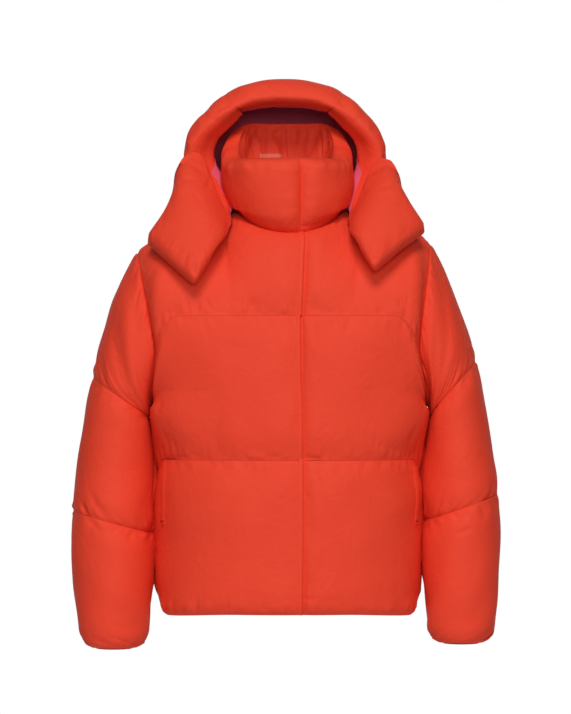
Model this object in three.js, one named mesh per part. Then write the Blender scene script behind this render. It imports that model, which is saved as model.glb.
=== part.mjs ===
// A short hooded puffer jacket, filled out as if worn, with nobody in it.
// Millimetres, +Z up. The front faces -Y, and the wearer's left is +X.
// The origin is the middle of the neck, level with the shoulder points at the neck.
// Every panel is a padded wall: a plain inside, and an outside raised into one quilted puff.
import * as THREE from "three";

const { clamp, lerp, smoothstep } = THREE.MathUtils;
const vec = (x, y, z) => new THREE.Vector3(x, y, z);
const RIGHT = -1; // the wearer's right, towards -X
const LEFT = 1;
const FRONT = -1; // towards -Y
const BACK = 1;

// Cloth and padding
const SEAM_GAP = 0.2; // each panel stops this far short of its seam line
const SEAM_WALL = 8; // shell, down and lining squeezed together at a quilted seam
const BODY_CREST = 24; // wall at the top of a body puff
const SLEEVE_CREST = 22;
const COLLAR_CREST = 30;
const HOOD_CREST = 27;
const FLAP_CREST = 38;
const THIN_CLOTH = 2; // lining and label

// Heights of the body's lines
const HEM = -618;
const WAIST_SEAM = { middle: -377, side: -402 };
const YOKE_SEAM = { middle: -157, side: -200 };
const SEAM_BEND = { waist: 0.8, yoke: 0.72 }; // share of the half row where a seam starts to drop
const UNDERARM = -285;

// The body's inside, by height: half width, and how far the front and back stand from the middle
const TORSO = [
  { at: -618, wide: 177, front: 118, back: 120 },
  { at: -570, wide: 181, front: 123, back: 124 },
  { at: -480, wide: 183, front: 127, back: 127 },
  { at: -377, wide: 185, front: 128, back: 129 },
  { at: -285, wide: 187, front: 126, back: 131 },
  { at: -157, wide: 187, front: 118, back: 128 },
  { at: -80, wide: 187, front: 98, back: 112 },
  { at: -20, wide: 187, front: 76, back: 88 },
];
const TORSO_MIDDLE = -2; // the body stands a little to the wearer's right of the neck
const ROUNDNESS = 2 / 2.35; // exponent of the body's rounded-square rows

// Armholes: the shoulder point, the underarm, and how far the hole bulges forwards and backwards
const ARMHOLE = {
  [RIGHT]: { topX: -234, topZ: -68, lowX: -189, front: 76, back: 82 },
  [LEFT]: { topX: 216, topZ: -55, lowX: 185, front: 76, back: 82 },
};

// Neckline and collar
const NECK = { wide: 70, deep: 76, sideZ: -2, slope: 23, dip: -6 };
const RIM = { x: -6, wide: 73, deep: 78, frontZ: 85, backZ: 146 };
const NECK_RISE = { middle: 0.25, side: 1 }; // how far the wall's edge at the neckline leans upwards
const RIM_RISES = { from: -0.5, to: 0.8 }; // the collar's rim is level in front and climbs at the sides
const SQUARE_RIM = 2 / 2.4;

// Front opening: the covered zip lies to the wearer's left of the middle
const FLY = { seamX: 12.5, width: 7, wall: 4.4 };

// Sleeves, from the armhole (0) through two quilted seams (1 and 2) to the cuff (3).
// Each ring lies between its outer and its inner point; deep is its half depth, y its middle.
const SLEEVES = {
  [RIGHT]: [
    { at: 0, outX: -234, outZ: -68, inX: -189, inZ: -285, deep: 76, deepBack: 82, y: 0 },
    { at: 0.5, outX: -267, outZ: -156, inX: -207, inZ: -291, deep: 70, deepBack: 74, y: -2 },
    { at: 1, outX: -290, outZ: -262, inX: -225, inZ: -306, deep: 61, deepBack: 63, y: -5 },
    { at: 1.5, outX: -304, outZ: -370, inX: -236, inZ: -388, deep: 53, deepBack: 53, y: -9 },
    { at: 2, outX: -316, outZ: -462, inX: -230, inZ: -486, deep: 56, deepBack: 56, y: -13 },
    { at: 2.5, outX: -313, outZ: -570, inX: -236, inZ: -576, deep: 50, deepBack: 50, y: -18 },
    { at: 3, outX: -301, outZ: -668, inX: -242, inZ: -668, deep: 33, deepBack: 33, y: -22 },
  ],
  [LEFT]: [
    { at: 0, outX: 216, outZ: -55, inX: 185, inZ: -285, deep: 76, deepBack: 82, y: 0 },
    { at: 0.5, outX: 248, outZ: -144, inX: 202, inZ: -290, deep: 70, deepBack: 74, y: -2 },
    { at: 1, outX: 275, outZ: -240, inX: 218, inZ: -302, deep: 61, deepBack: 63, y: -5 },
    { at: 1.5, outX: 288, outZ: -345, inX: 229, inZ: -362, deep: 53, deepBack: 53, y: -9 },
    { at: 2, outX: 302, outZ: -438, inX: 223, inZ: -466, deep: 56, deepBack: 56, y: -13 },
    { at: 2.5, outX: 301, outZ: -556, inX: 229, inZ: -562, deep: 50, deepBack: 50, y: -18 },
    { at: 3, outX: 293, outZ: -660, inX: 235, inZ: -660, deep: 33, deepBack: 33, y: -22 },
  ],
};
const SLEEVE_PARTS = ["upper", "middle", "lower"];
const CUFF = { height: 12, wall: 2.5, gap: 0.4 };

// Hood: distances out from its middle line, which leans to the wearer's right as it rises
const HOOD_LEAN = -8;
const HOOD_LEAN_TOP = 80;
const HOOD_RIM = [
  { out: 0, y: -6, z: 166 },
  { out: 38, y: -8, z: 164 },
  { out: 68, y: -10, z: 157 },
];
const HOOD_OPENING = [
  { out: 68, y: -10, z: 157 },
  { out: 94, y: -12, z: 138 },
  { out: 123, y: -10, z: 110 },
  { out: 130, y: -8, z: 80 },
  { out: 118, y: -18, z: 50 },
  { out: 102, y: -40, z: 20 },
];
const HOOD_SEAM_TOP = [
  { out: 68, y: -10, z: 157 },
  { out: 76, y: 14, z: 170 },
  { out: 80, y: 60, z: 174 },
  { out: 79, y: 120, z: 166 },
  { out: 72, y: 172, z: 130 },
];
const HOOD_SEAM_BACK = [
  { out: 72, y: 172, z: 130 },
  { out: 68, y: 196, z: 82 },
  { out: 62, y: 190, z: 40 },
  { out: 54, y: 150, z: 12 },
];
const HOOD_MIDDLE = [
  { out: 0, y: -6, z: 166 },
  { out: 0, y: 14, z: 180 },
  { out: 0, y: 60, z: 186 },
  { out: 0, y: 125, z: 174 },
  { out: 0, y: 180, z: 134 },
  { out: 0, y: 205, z: 84 },
  { out: 0, y: 198, z: 38 },
  { out: 0, y: 155, z: 10 },
];
const NECK_SEAT = [
  { out: 48, y: 92 },
  { out: 84, y: 58 },
  { out: 98, y: 8 },
  { out: 94, y: -34 },
  { out: 84, y: -60 },
];
const SEAT_GAP = 0.6;
const SEAT_STEPS = 8;

// Front flaps of the hood, opened outwards: absolute places of their edges
const FLAPS = {
  [RIGHT]: {
    outer: [
      { x: -150, y: -22, z: 98 },
      { x: -172, y: -36, z: 72 },
      { x: -179, y: -46, z: 40 },
      { x: -192, y: -56, z: 4 },
    ],
    endOuter: { x: -221, y: -68, z: -40 },
    endMiddle: { x: -184, y: -112, z: -74 },
    endInner: { x: -144, y: -146, z: -109 },
    inner: [{ x: -116, y: -124, z: -62 }],
  },
  [LEFT]: {
    outer: [
      { x: 146, y: -24, z: 88 },
      { x: 163, y: -36, z: 66 },
      { x: 172, y: -46, z: 40 },
      { x: 186, y: -54, z: 12 },
    ],
    endOuter: { x: 209, y: -66, z: -24 },
    endMiddle: { x: 168, y: -110, z: -54 },
    endInner: { x: 127, y: -142, z: -89 },
    inner: [{ x: 104, y: -120, z: -50 }],
  },
};
const FLAP_ROOT_TOP = 0.58; // share of the hood's opening where the flap starts
const ROOT_GAP = 1.6;
const ROOT_LEAN = 0.75; // the root's wall leans forwards, since the flap turns out from the hood

// Pockets at the side seams, and the label inside the collar's back
const POCKET = { top: -415, bottom: -545, from: 0.74, to: 0.78, wall: 3 };
const LABEL = { fromX: -40, toX: -6, topShare: 0.64, lowShare: 0.54, wall: 1 };

// Value of a table's column between its rows, along a smooth curve through them.
function read(table, column, at) {
  const last = table.length - 1;
  let i = 0;
  while (i < last - 1 && table[i + 1].at < at) i += 1;
  const slope = (k) => {
    const before = table[Math.max(k - 1, 0)];
    const after = table[Math.min(k + 1, last)];
    return (after[column] - before[column]) / (after.at - before.at);
  };
  const span = table[i + 1].at - table[i].at;
  const t = clamp((at - table[i].at) / span, 0, 1);
  const ease = t * t * (3 - 2 * t);
  const start = table[i][column] + slope(i) * span * t * (1 - t) * (1 - t);
  return start + (table[i + 1][column] - table[i][column]) * ease - slope(i + 1) * span * t * t * (1 - t);
}

// A curve through points, as a function of the share of its length.
function through(points) {
  const curve = new THREE.CatmullRomCurve3(points, false, "centripetal");
  return (t) => curve.getPointAt(clamp(t, 0, 1));
}

// Any curve function, taken at even steps of its length.
function evenly(curve, samples = 32) {
  const points = Array.from({ length: samples + 1 }, (_, i) => curve(i / samples));
  const reach = [0];
  for (let i = 1; i <= samples; i += 1) reach.push(reach[i - 1] + points[i].distanceTo(points[i - 1]));
  const total = reach[samples];
  return (u) => {
    const target = clamp(u, 0, 1) * total;
    let i = 0;
    while (i < samples - 1 && reach[i + 1] < target) i += 1;
    return points[i].clone().lerp(points[i + 1], (target - reach[i]) / (reach[i + 1] - reach[i]));
  };
}

function lengthOf(curve, samples = 24) {
  let total = 0;
  for (let i = 1; i <= samples; i += 1) total += curve(i / samples).distanceTo(curve((i - 1) / samples));
  return total;
}

// Armhole point at an angle: 0 is the shoulder point, half a turn the underarm.
function armhole(side, face, angle) {
  const hole = ARMHOLE[side];
  const middle = vec((hole.topX + hole.lowX) / 2, 0, (hole.topZ + UNDERARM) / 2);
  const up = vec((hole.topX - hole.lowX) / 2, 0, (hole.topZ - UNDERARM) / 2);
  const bulge = face * (face === FRONT ? hole.front : hole.back);
  const radius = up.length();
  const point = middle.addScaledVector(up, Math.cos(angle)).add(vec(0, bulge * Math.sin(angle), 0));
  const lift = up.clone().multiplyScalar(Math.cos(angle) / radius ** 2);
  lift.y += Math.sin(angle) / bulge;
  return { point, lift: lift.normalize() };
}

function armholeAngle(side, z) {
  const hole = ARMHOLE[side];
  const middle = (hole.topZ + UNDERARM) / 2;
  return Math.acos(clamp((z - middle) / (hole.topZ - middle), -1, 1));
}

// One row of the body's inside at a height, from the middle (share 0) to its side or armhole (share 1).
function rowPoint(face, side, z, share) {
  const way = share < 0 ? -side : side;
  const end = z > UNDERARM
    ? armhole(way, face, armholeAngle(way, z)).point
    : vec(TORSO_MIDDLE + way * read(TORSO, "wide", z), 0, z);
  const depth = read(TORSO, face === FRONT ? "front" : "back", z);
  const endDepth = Math.abs(end.y);
  const curve = (t) => {
    const across = Math.sin((t * Math.PI) / 2) ** ROUNDNESS;
    const forward = Math.cos((t * Math.PI) / 2) ** ROUNDNESS;
    return vec(end.x * across, face * (endDepth + (depth - endDepth) * forward), z);
  };
  return evenly(curve)(Math.abs(share));
}

function rowLift(face, side, z, share) {
  const step = 0.01;
  const a = rowPoint(face, side, z, Math.min(share, 1) - step);
  const b = rowPoint(face, side, z, Math.min(share + step, 1));
  const along = b.sub(a).multiplyScalar(side * face);
  return vec(-along.y, along.x, 0).normalize();
}

// Height of a quilted seam, which drops towards the side.
function seamHeight(seam, bend, share) {
  return lerp(seam.middle, seam.side, smoothstep(Math.abs(share), bend, 1));
}

// Edges of the body's panels: each gives a point and the direction in which the padding rises.
function rowEdge(face, side, height, start) {
  return (t) => {
    const share = lerp(start, 1, t);
    const z = height(share);
    const point = rowPoint(face, side, z, share);
    const lift = rowLift(face, side, z, share);
    if (z > UNDERARM) {
      const turn = smoothstep(share, 0.75, 1);
      lift.lerp(armhole(side, face, armholeAngle(side, z)).lift, turn).normalize();
    }
    return { point, lift };
  };
}

const TURN_AT_UNDERARM = 45; // how far below the underarm the padding starts to lean down
function sideEdge(face, side, low, high) {
  const straight = Math.max(Math.min(UNDERARM, high) - low, 0);
  const angles = [armholeAngle(side, Math.max(low, UNDERARM)), armholeAngle(side, high)];
  const arc = high > UNDERARM ? evenly((t) => armhole(side, face, lerp(...angles, t)).point) : null;
  const curved = arc ? lengthOf(arc) : 0;
  return (t) => {
    const reach = t * (straight + curved);
    if (reach < straight) {
      const z = low + reach;
      const down = smoothstep(z, UNDERARM - TURN_AT_UNDERARM, UNDERARM);
      const lift = vec(side, 0, 0).lerp(armhole(side, face, Math.PI).lift, down);
      return { point: rowPoint(face, side, z, 1), lift: lift.normalize() };
    }
    const share = curved ? (reach - straight) / curved : 1;
    const point = arc ? arc(share) : rowPoint(face, side, high, 1);
    const angle = arc ? armholeAngle(side, point.z) : 0;
    const lift = arc ? armhole(side, face, angle).lift : vec(side, 0, 0);
    return { point, lift };
  };
}

// Neckline, by the angle around it: 0 is the wearer's left, a quarter turn the back.
function neckline(angle) {
  const s = Math.sin(angle);
  const c = Math.cos(angle);
  const point = vec(NECK.wide * c, NECK.deep * s, NECK.sideZ + NECK.slope * s + NECK.dip * s * s);
  const lift = vec(c / NECK.wide, s / NECK.deep, 0).normalize();
  lift.z = lerp(NECK_RISE.middle, NECK_RISE.side, c * c);
  return { point, lift: lift.normalize() };
}

const angleAtX = (x, face) => face * Math.acos(clamp(x / NECK.wide, -1, 1));
const NECK_SHARE = 0.42; // share of a yoke's top edge that is neckline, and the rest shoulder seam

// Where a yoke's neckline starts and ends, as angles.
function neckSpan(face, side) {
  return [angleAtX(face === FRONT ? FLY.seamX : 0, face), side === LEFT ? 0 : face * Math.PI];
}

// Top edge of half a yoke: the neckline from the middle to the shoulder, then the shoulder seam.
function yokeTop(face, side) {
  const [start, end] = neckSpan(face, side);
  const shoulder = neckline(end);
  const tip = armhole(side, face, 0);
  const seamLift = vec(side * 0.43, 0, 0.9).normalize();
  return (t) => {
    if (t < NECK_SHARE) return neckline(lerp(start, end, t / NECK_SHARE));
    const share = (t - NECK_SHARE) / (1 - NECK_SHARE);
    const lift = shoulder.lift.clone().lerp(seamLift, smoothstep(share, 0, 0.3));
    lift.lerp(tip.lift, smoothstep(share, 0.8, 1));
    return { point: shoulder.point.clone().lerp(tip.point, share), lift: lift.normalize() };
  };
}

function centreEdge(face, side, start, low, high) {
  const step = (t) => {
    const z = lerp(low, high, t);
    return rowPoint(face, side, z, start);
  };
  return (t) => ({ point: step(t), lift: vec(0, face, 0) });
}

// A four-sided panel from its edges, for both the points and the padding's direction.
// reach says how soon the bend of the start and end edges dies out towards the middle.
function coons(bottom, top, start, end, reach = { start: 1, end: 1 }) {
  const corner = [bottom(0), bottom(1), top(0), top(1)];
  const blend = (key, u, v) => {
    const pull = [(1 - u) ** reach.start, u ** reach.end];
    const p = bottom(u)[key].clone().lerp(top(u)[key], v);
    p.addScaledVector(start(v)[key], pull[0]).addScaledVector(end(v)[key], pull[1]);
    p.addScaledVector(corner[0][key], -pull[0] * (1 - v)).addScaledVector(corner[2][key], -pull[0] * v);
    return p.addScaledVector(corner[1][key], -pull[1] * (1 - v)).addScaledVector(corner[3][key], -pull[1] * v);
  };
  return (u, v) => ({ point: blend("point", u, v), lift: blend("lift", u, v).normalize() });
}

// The same panel as flat facets between some of its lines, for what lies on it.
function facetted(patch, lines) {
  return (u, v) => {
    let i = 0;
    while (i < lines.length - 2 && lines[i + 1] < u) i += 1;
    const share = (u - lines[i]) / (lines[i + 1] - lines[i]);
    const [a, b] = [patch(lines[i], v), patch(lines[i + 1], v)];
    return { point: a.point.lerp(b.point, share), lift: a.lift.lerp(b.lift, share).normalize() };
  };
}

// Padding rises from an edge in a quarter round.
const roll = (distance, radius) => Math.sqrt(1 - (1 - clamp(distance / radius, 0, 1)) ** 2);
const ROLL_STEPS = [0, 4, 12, 26, 46];
const LONGEST_STEP = 40;

// Grid lines across a panel: close together at its edges, where the puff rolls over.
function gridLines(length, first, last) {
  const near = ROLL_STEPS.filter((d) => d < length * 0.42);
  const from = first ? near.map((d) => Math.max(d, SEAM_GAP)) : [0];
  const to = last ? near.map((d) => length - Math.max(d, SEAM_GAP)).reverse() : [length];
  const span = to[0] - from[from.length - 1];
  const count = Math.max(Math.ceil(span / LONGEST_STEP), 1);
  const between = Array.from({ length: count - 1 }, (_, i) => from[from.length - 1] + (span * (i + 1)) / count);
  return [...from, ...between, ...to].map((d) => d / length);
}

// Padding's height over the inside, from the distances to the panel's edges.
function puffHeight(crest, edges, reach, along = {}) {
  let height = crest;
  for (const [name, edge] of Object.entries(edges)) {
    const share = (edge.wallAt ? edge.wallAt(along[name]) : edge.wall) / crest;
    height *= share + (1 - share) * roll(reach[name] - (edge.flat || 0), edge.roll);
  }
  return Math.max(height, 3);
}

const meshes = [];
const cloths = {
  shell: { color: 0xe24632, roughness: 0.62 },
  trim: { color: 0xc93a2a, roughness: 0.7 },
  lining: { color: 0xc8495c, roughness: 0.55 },
};

// A closed solid from two grids of points that face each other, named as one piece.
function solid(name, cloth, outer, inner, aroundClosed) {
  const positions = [];
  const triangles = [];
  const place = (grid) => grid.map((line) => line.map((p) => positions.push(p.x, p.y, p.z) / 3 - 1));
  const ids = { outer: place(outer.points), inner: place(inner.points) };
  const cover = (grid, turned) => {
    const columns = grid[0].length;
    for (let j = 0; j + 1 < grid.length; j += 1) {
      for (let i = 0; i + 1 < columns + (aroundClosed ? 1 : 0); i += 1) {
        const k = (i + 1) % columns;
        const [a, b, c, d] = [grid[j][i], grid[j][k], grid[j + 1][k], grid[j + 1][i]];
        triangles.push(...(turned ? [a, c, b, a, d, c] : [a, b, c, a, c, d]));
      }
    }
  };
  cover(ids.outer, false);
  cover(ids.inner, true);
  const sides = aroundClosed ? ["bottom", "top"] : ["bottom", "end", "top", "start"];
  for (const side of sides) {
    const turned = side === "top" || side === "start";
    const rims = [borderOf(ids.outer, outer, side, aroundClosed), borderOf(ids.inner, inner, side, aroundClosed)];
    zip(triangles, positions, rims, turned);
  }
  const geometry = new THREE.BufferGeometry();
  geometry.setAttribute("position", new THREE.BufferAttribute(new Float32Array(positions), 3));
  geometry.setIndex(signedVolume(positions, triangles) < 0 ? triangles.reverse() : triangles);
  geometry.computeVertexNormals();
  const mesh = new THREE.Mesh(geometry, new THREE.MeshStandardMaterial({ ...cloths[cloth], metalness: 0 }));
  mesh.name = name;
  meshes.push(mesh);
  return mesh;
}

function signedVolume(positions, triangles) {
  const at = (i) => vec(...positions.slice(3 * i, 3 * i + 3));
  let volume = 0;
  for (let i = 0; i < triangles.length; i += 3) {
    volume += at(triangles[i]).dot(at(triangles[i + 1]).cross(at(triangles[i + 2])));
  }
  return volume;
}

// One side of a grid as vertices with their share of its way, always in the rising direction.
function borderOf(ids, { us, vs }, side, aroundClosed) {
  const across = side === "bottom" || side === "top";
  const lines = across ? us : vs;
  const at = { bottom: (i) => ids[0][i], top: (i) => ids.at(-1)[i], start: (i) => ids[i][0], end: (i) => ids[i].at(-1) }[side];
  if (aroundClosed) return [...lines.map((u, i) => ({ id: at(i), at: u })), { id: at(0), at: 1 }];
  const share = (line) => (line - lines[0]) / (lines.at(-1) - lines[0]);
  return lines.map((line, i) => ({ id: at(i), at: share(line) }));
}

// Joins two borders that run side by side with triangles, one step at a time.
// Where both could step, the place in space decides, so neighbours split a shared seam alike.
function zip(triangles, positions, [outer, inner], turned) {
  let i = 0;
  let j = 0;
  const order = ({ id }) => 0.31 * positions[3 * id] + 0.57 * positions[3 * id + 1] + positions[3 * id + 2];
  while (i < outer.length - 1 || j < inner.length - 1) {
    const nextOuter = i < outer.length - 1 ? outer[i + 1].at : Infinity;
    const nextInner = j < inner.length - 1 ? inner[j + 1].at : Infinity;
    const level = Math.abs(nextOuter - nextInner) < 1e-6;
    const onOuter = level ? order(outer[i + 1]) > order(outer[i]) : nextOuter < nextInner;
    const [a, b] = [outer[i].id, inner[j].id];
    const c = onOuter ? outer[i + 1].id : inner[j + 1].id;
    triangles.push(...(turned ? [b, a, c] : [a, b, c]));
    if (onOuter) i += 1;
    else j += 1;
  }
}

const coarser = (lines) => lines.filter((_, i) => i % 3 === 0 || i === lines.length - 1);
const steps = (from, to, count) => Array.from({ length: count }, (_, i) => lerp(from, to, (i + 1) / count));

// Lines down half of the body, from its middle (0) to its side (1), so that its panels meet point to point.
const HALF_BODY = 250;
const rollLines = ROLL_STEPS.map((d) => Math.max(d, SEAM_GAP) / HALF_BODY);
const towardsSide = rollLines.map((d) => 1 - d).reverse();
function bodyColumns(face, flat) {
  const middle = face === BACK
    ? [0, ...steps(0, NECK_SHARE, 5)]
    : [rollLines[0], ...rollLines.slice(flat ? 0 : 1).map((d) => d + flat / HALF_BODY)];
  const neck = face === BACK ? [] : steps(middle.at(-1), NECK_SHARE, 3);
  const shoulder = steps(NECK_SHARE, towardsSide[0], 5).slice(0, -1);
  const inner = new Set([...middle, ...neck, shoulder[1], shoulder[3], towardsSide[1], towardsSide.at(-1)]);
  const us = [...middle, ...neck, ...shoulder, ...towardsSide];
  return { us, innerUs: us.filter((u) => inner.has(u)) };
}

// A padded panel: the patch is its inside, and the puff rises along the patch's lift.
// inside is the share of the padding on the other side of the patch, 0 on a plain wall.
function paddedPanel(name, patch, { crest, edges, lines = {}, inside = 0, cloth = "shell" }) {
  const alongU = (v) => lengthOf((u) => patch(u, v).point, 16);
  const alongV = (u) => lengthOf((v) => patch(u, v).point, 16);
  const { us = gridLines(alongU(0.5), edges.start, edges.end) } = lines;
  const { vs = gridLines(alongV(0.5), edges.bottom, edges.top) } = lines;
  const { innerUs = coarser(us), innerVs = coarser(vs) } = lines;
  const widths = new Map(vs.map((v) => [v, alongU(v)]));
  const heights = new Map(us.map((u) => [u, alongV(u)]));
  const at = (u, v, side) => {
    const { point, lift } = patch(u, v);
    const reach = {
      start: u * widths.get(v),
      end: (1 - u) * widths.get(v),
      bottom: v * heights.get(u),
      top: (1 - v) * heights.get(u),
    };
    const height = puffHeight(crest, edges, reach, { start: v, end: v, bottom: u, top: u });
    return point.addScaledVector(lift, side > 0 ? height * (1 - inside) : -height * inside);
  };
  const gridOf = (columns, rows, side) => ({
    us: columns,
    vs: rows,
    points: rows.map((v) => columns.map((u) => at(u, v, side))),
  });
  const outer = gridOf(us, vs, 1);
  const inner = inside ? gridOf(us, vs, -1) : gridOf(innerUs, innerVs, -1);
  return { mesh: solid(name, cloth, outer, inner, false), patch, us, vs, innerUs, innerVs };
}

// A thin even wall over part of a patch, at a distance from it.
function thinPanel(name, patch, { us, vs, offset, wall, cloth }) {
  const layer = (distance) => ({
    us,
    vs,
    points: vs.map((v) => us.map((u) => {
      const { point, lift } = patch(u, v);
      return point.addScaledVector(lift, distance);
    })),
  });
  return solid(name, cloth, layer(offset + wall), layer(offset), false);
}

// Body: two fronts of three puffs each, and a back of three puffs
const SEAM = { wall: SEAM_WALL, roll: 42 };
const SIDE_SEAM = { wall: SEAM_WALL, roll: 48 };
const HEM_EDGE = { wall: 13, roll: 20 };
const NECK_WALL = 6;
const SHOULDER_WALL = 16;
const yokeWall = (half) => lerp(NECK_WALL, SHOULDER_WALL, smoothstep(half, NECK_SHARE, NECK_SHARE + 0.1));
const halfRow = (face, side, z) => lengthOf((t) => rowPoint(face, side, z, t));
const bodyRows = {
  hem: () => HEM,
  waist: (share) => seamHeight(WAIST_SEAM, SEAM_BEND.waist, share),
  yoke: (share) => seamHeight(YOKE_SEAM, SEAM_BEND.yoke, share),
};

function bodyFront(side, label) {
  const offset = side * FLY.seamX;
  const start = (row) => offset / halfRow(FRONT, side, row(0));
  const flat = side === RIGHT ? 0 : FLY.width + 1;
  const opening = side === RIGHT ? { wall: 12, roll: 16 } : { wall: SEAM_WALL, roll: 26, flat: flat + 1 };
  const lines = bodyColumns(FRONT, flat);
  const reach = { start: 1, end: 4 };
  const puff = (name, low, high, bottomEdge) => {
    const patch = coons(
      rowEdge(FRONT, side, low, start(low)),
      rowEdge(FRONT, side, high, start(high)),
      centreEdge(FRONT, side, start(low), low(0), high(0)),
      sideEdge(FRONT, side, low(1), high(1)),
      reach,
    );
    const edges = { start: opening, end: SIDE_SEAM, bottom: bottomEdge, top: SEAM };
    return paddedPanel(`front_${label}_${name}`, patch, { crest: BODY_CREST, edges, lines });
  };
  const lower = puff("lower", bodyRows.hem, bodyRows.waist, HEM_EDGE);
  const middle = puff("middle", bodyRows.waist, bodyRows.yoke, SEAM);
  const low = rowEdge(FRONT, side, bodyRows.yoke, start(bodyRows.yoke));
  const top = yokeTop(FRONT, side);
  const centre = through([low(0).point, vec(FLY.seamX, -102, -95), top(0).point]);
  const opened = (t) => ({ point: centre(t), lift: low(0).lift.clone().lerp(top(0).lift, t).normalize() });
  const armEdge = sideEdge(FRONT, side, YOKE_SEAM.side, ARMHOLE[side].topZ);
  const patch = rounded(coons(low, top, opened, armEdge, reach), (u) => smoothstep(u, 0, 0.4));
  const edges = { start: opening, end: SEAM, bottom: SEAM, top: { wallAt: yokeWall, roll: 34 } };
  const yoke = paddedPanel(`front_${label}_yoke`, patch, { crest: BODY_CREST, edges, lines });
  return { lower, middle, yoke };
}

// A yoke's inside is not a straight slope: it rounds over the chest and the shoulder blades.
const YOKE_ROUND = 11;
function rounded(patch, across) {
  return (u, v) => {
    const { point, lift } = patch(u, v);
    const height = YOKE_ROUND * Math.sin(Math.PI * v) ** 2 * across(u) * (1 - smoothstep(u, 0.8, 1));
    return { point: point.addScaledVector(lift, height), lift };
  };
}

// The back's edges run from the wearer's right side to the left, through the middle.
function bodyBack() {
  const across = (edgeOf) => {
    const halves = { [RIGHT]: edgeOf(RIGHT), [LEFT]: edgeOf(LEFT) };
    return (t) => (t < 0.5 ? halves[RIGHT](1 - 2 * t) : halves[LEFT](2 * t - 1));
  };
  const half = bodyColumns(BACK, 0);
  const both = (list) => [...list.slice(1).map((u) => (1 - u) / 2).reverse(), ...list.map((u) => (1 + u) / 2)];
  const lines = { us: both(half.us), innerUs: both(half.innerUs) };
  const reach = { start: 6, end: 6 };
  const puff = (name, low, high, bottomEdge) => {
    const patch = coons(
      across((side) => rowEdge(BACK, side, low, 0)),
      across((side) => rowEdge(BACK, side, high, 0)),
      sideEdge(BACK, RIGHT, low(1), high(1)),
      sideEdge(BACK, LEFT, low(1), high(1)),
      reach,
    );
    const edges = { start: SIDE_SEAM, end: SIDE_SEAM, bottom: bottomEdge, top: SEAM };
    return paddedPanel(`back_${name}`, patch, { crest: BODY_CREST, edges, lines });
  };
  puff("lower", bodyRows.hem, bodyRows.waist, HEM_EDGE);
  puff("middle", bodyRows.waist, bodyRows.yoke, SEAM);
  const patch = coons(
    across((side) => rowEdge(BACK, side, bodyRows.yoke, 0)),
    across((side) => yokeTop(BACK, side)),
    sideEdge(BACK, RIGHT, YOKE_SEAM.side, ARMHOLE[RIGHT].topZ),
    sideEdge(BACK, LEFT, YOKE_SEAM.side, ARMHOLE[LEFT].topZ),
    reach,
  );
  const round = rounded(patch, (u) => 1 - smoothstep(1 - u, 0.8, 1));
  const edges = { start: SEAM, end: SEAM, bottom: SEAM, top: { wallAt: (u) => yokeWall(Math.abs(2 * u - 1)), roll: 34 } };
  return paddedPanel("back_yoke", round, { crest: BODY_CREST, edges, lines });
}

const fronts = { [RIGHT]: bodyFront(RIGHT, "right"), [LEFT]: bodyFront(LEFT, "left") };
const backYoke = bodyBack();

// Sleeves: each section is a tube of rings
function sleeveRing(side, at, angle) {
  const rows = SLEEVES[side];
  const row = (column) => read(rows, column, at);
  const out = vec(row("outX"), row("y"), row("outZ"));
  const inside = vec(row("inX"), row("y"), row("inZ"));
  const middle = out.clone().add(inside).multiplyScalar(0.5);
  const up = out.sub(inside).multiplyScalar(0.5);
  const deep = Math.sin(angle) > 0 ? row("deep") : row("deepBack");
  const point = middle.addScaledVector(up, Math.cos(angle)).add(vec(0, -deep * Math.sin(angle), 0));
  const lift = up.clone().multiplyScalar(Math.cos(angle) / up.lengthSq());
  lift.y -= Math.sin(angle) / deep;
  return { point, lift: lift.normalize() };
}

const SLEEVE_COLUMNS = 24;
const SLEEVE_EDGES = {
  upper: { bottom: { wall: SEAM_WALL, roll: 60 }, top: { wall: SEAM_WALL, roll: 34 } },
  middle: { bottom: { wall: SEAM_WALL, roll: 40 }, top: { wall: SEAM_WALL, roll: 34 } },
  lower: { bottom: { wall: SEAM_WALL, roll: 40 }, top: { wall: 5, roll: 30 } },
};
const UNDERARM_PUFF = 0.35; // the padding is squeezed where the sleeve turns down beside the body

function sleeveSection(side, label, index) {
  const part = SLEEVE_PARTS[index];
  const edges = SLEEVE_EDGES[part];
  const at = (v) => index + v;
  const length = lengthOf((v) => sleeveRing(side, at(v), Math.PI / 2).point);
  const vs = gridLines(length, true, true);
  if (index === 0) vs[0] = (2.5 * SEAM_GAP) / length;
  const us = Array.from({ length: SLEEVE_COLUMNS }, (_, i) => i / SLEEVE_COLUMNS);
  const gridOf = (columns, rows, raised) => ({
    us: columns,
    vs: rows,
    points: rows.map((v) => columns.map((u) => {
      const angle = u * 2 * Math.PI;
      const { point, lift } = sleeveRing(side, at(v), angle);
      const reach = { bottom: v * length, top: (1 - v) * length };
      const under = index === 0 ? smoothstep(-Math.cos(angle), 0.2, 1) * (1 - smoothstep(v, 0.3, 1)) : 0;
      const height = puffHeight(SLEEVE_CREST, edges, reach) * lerp(1, UNDERARM_PUFF, under);
      return raised ? point.addScaledVector(lift, Math.max(height, 3)) : point;
    })),
  });
  const inner = gridOf(us.filter((_, i) => i % 2 === 0), coarser(vs), false);
  solid(`sleeve_${label}_${part}`, "shell", gridOf(us, vs, true), inner, true);
}

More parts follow.
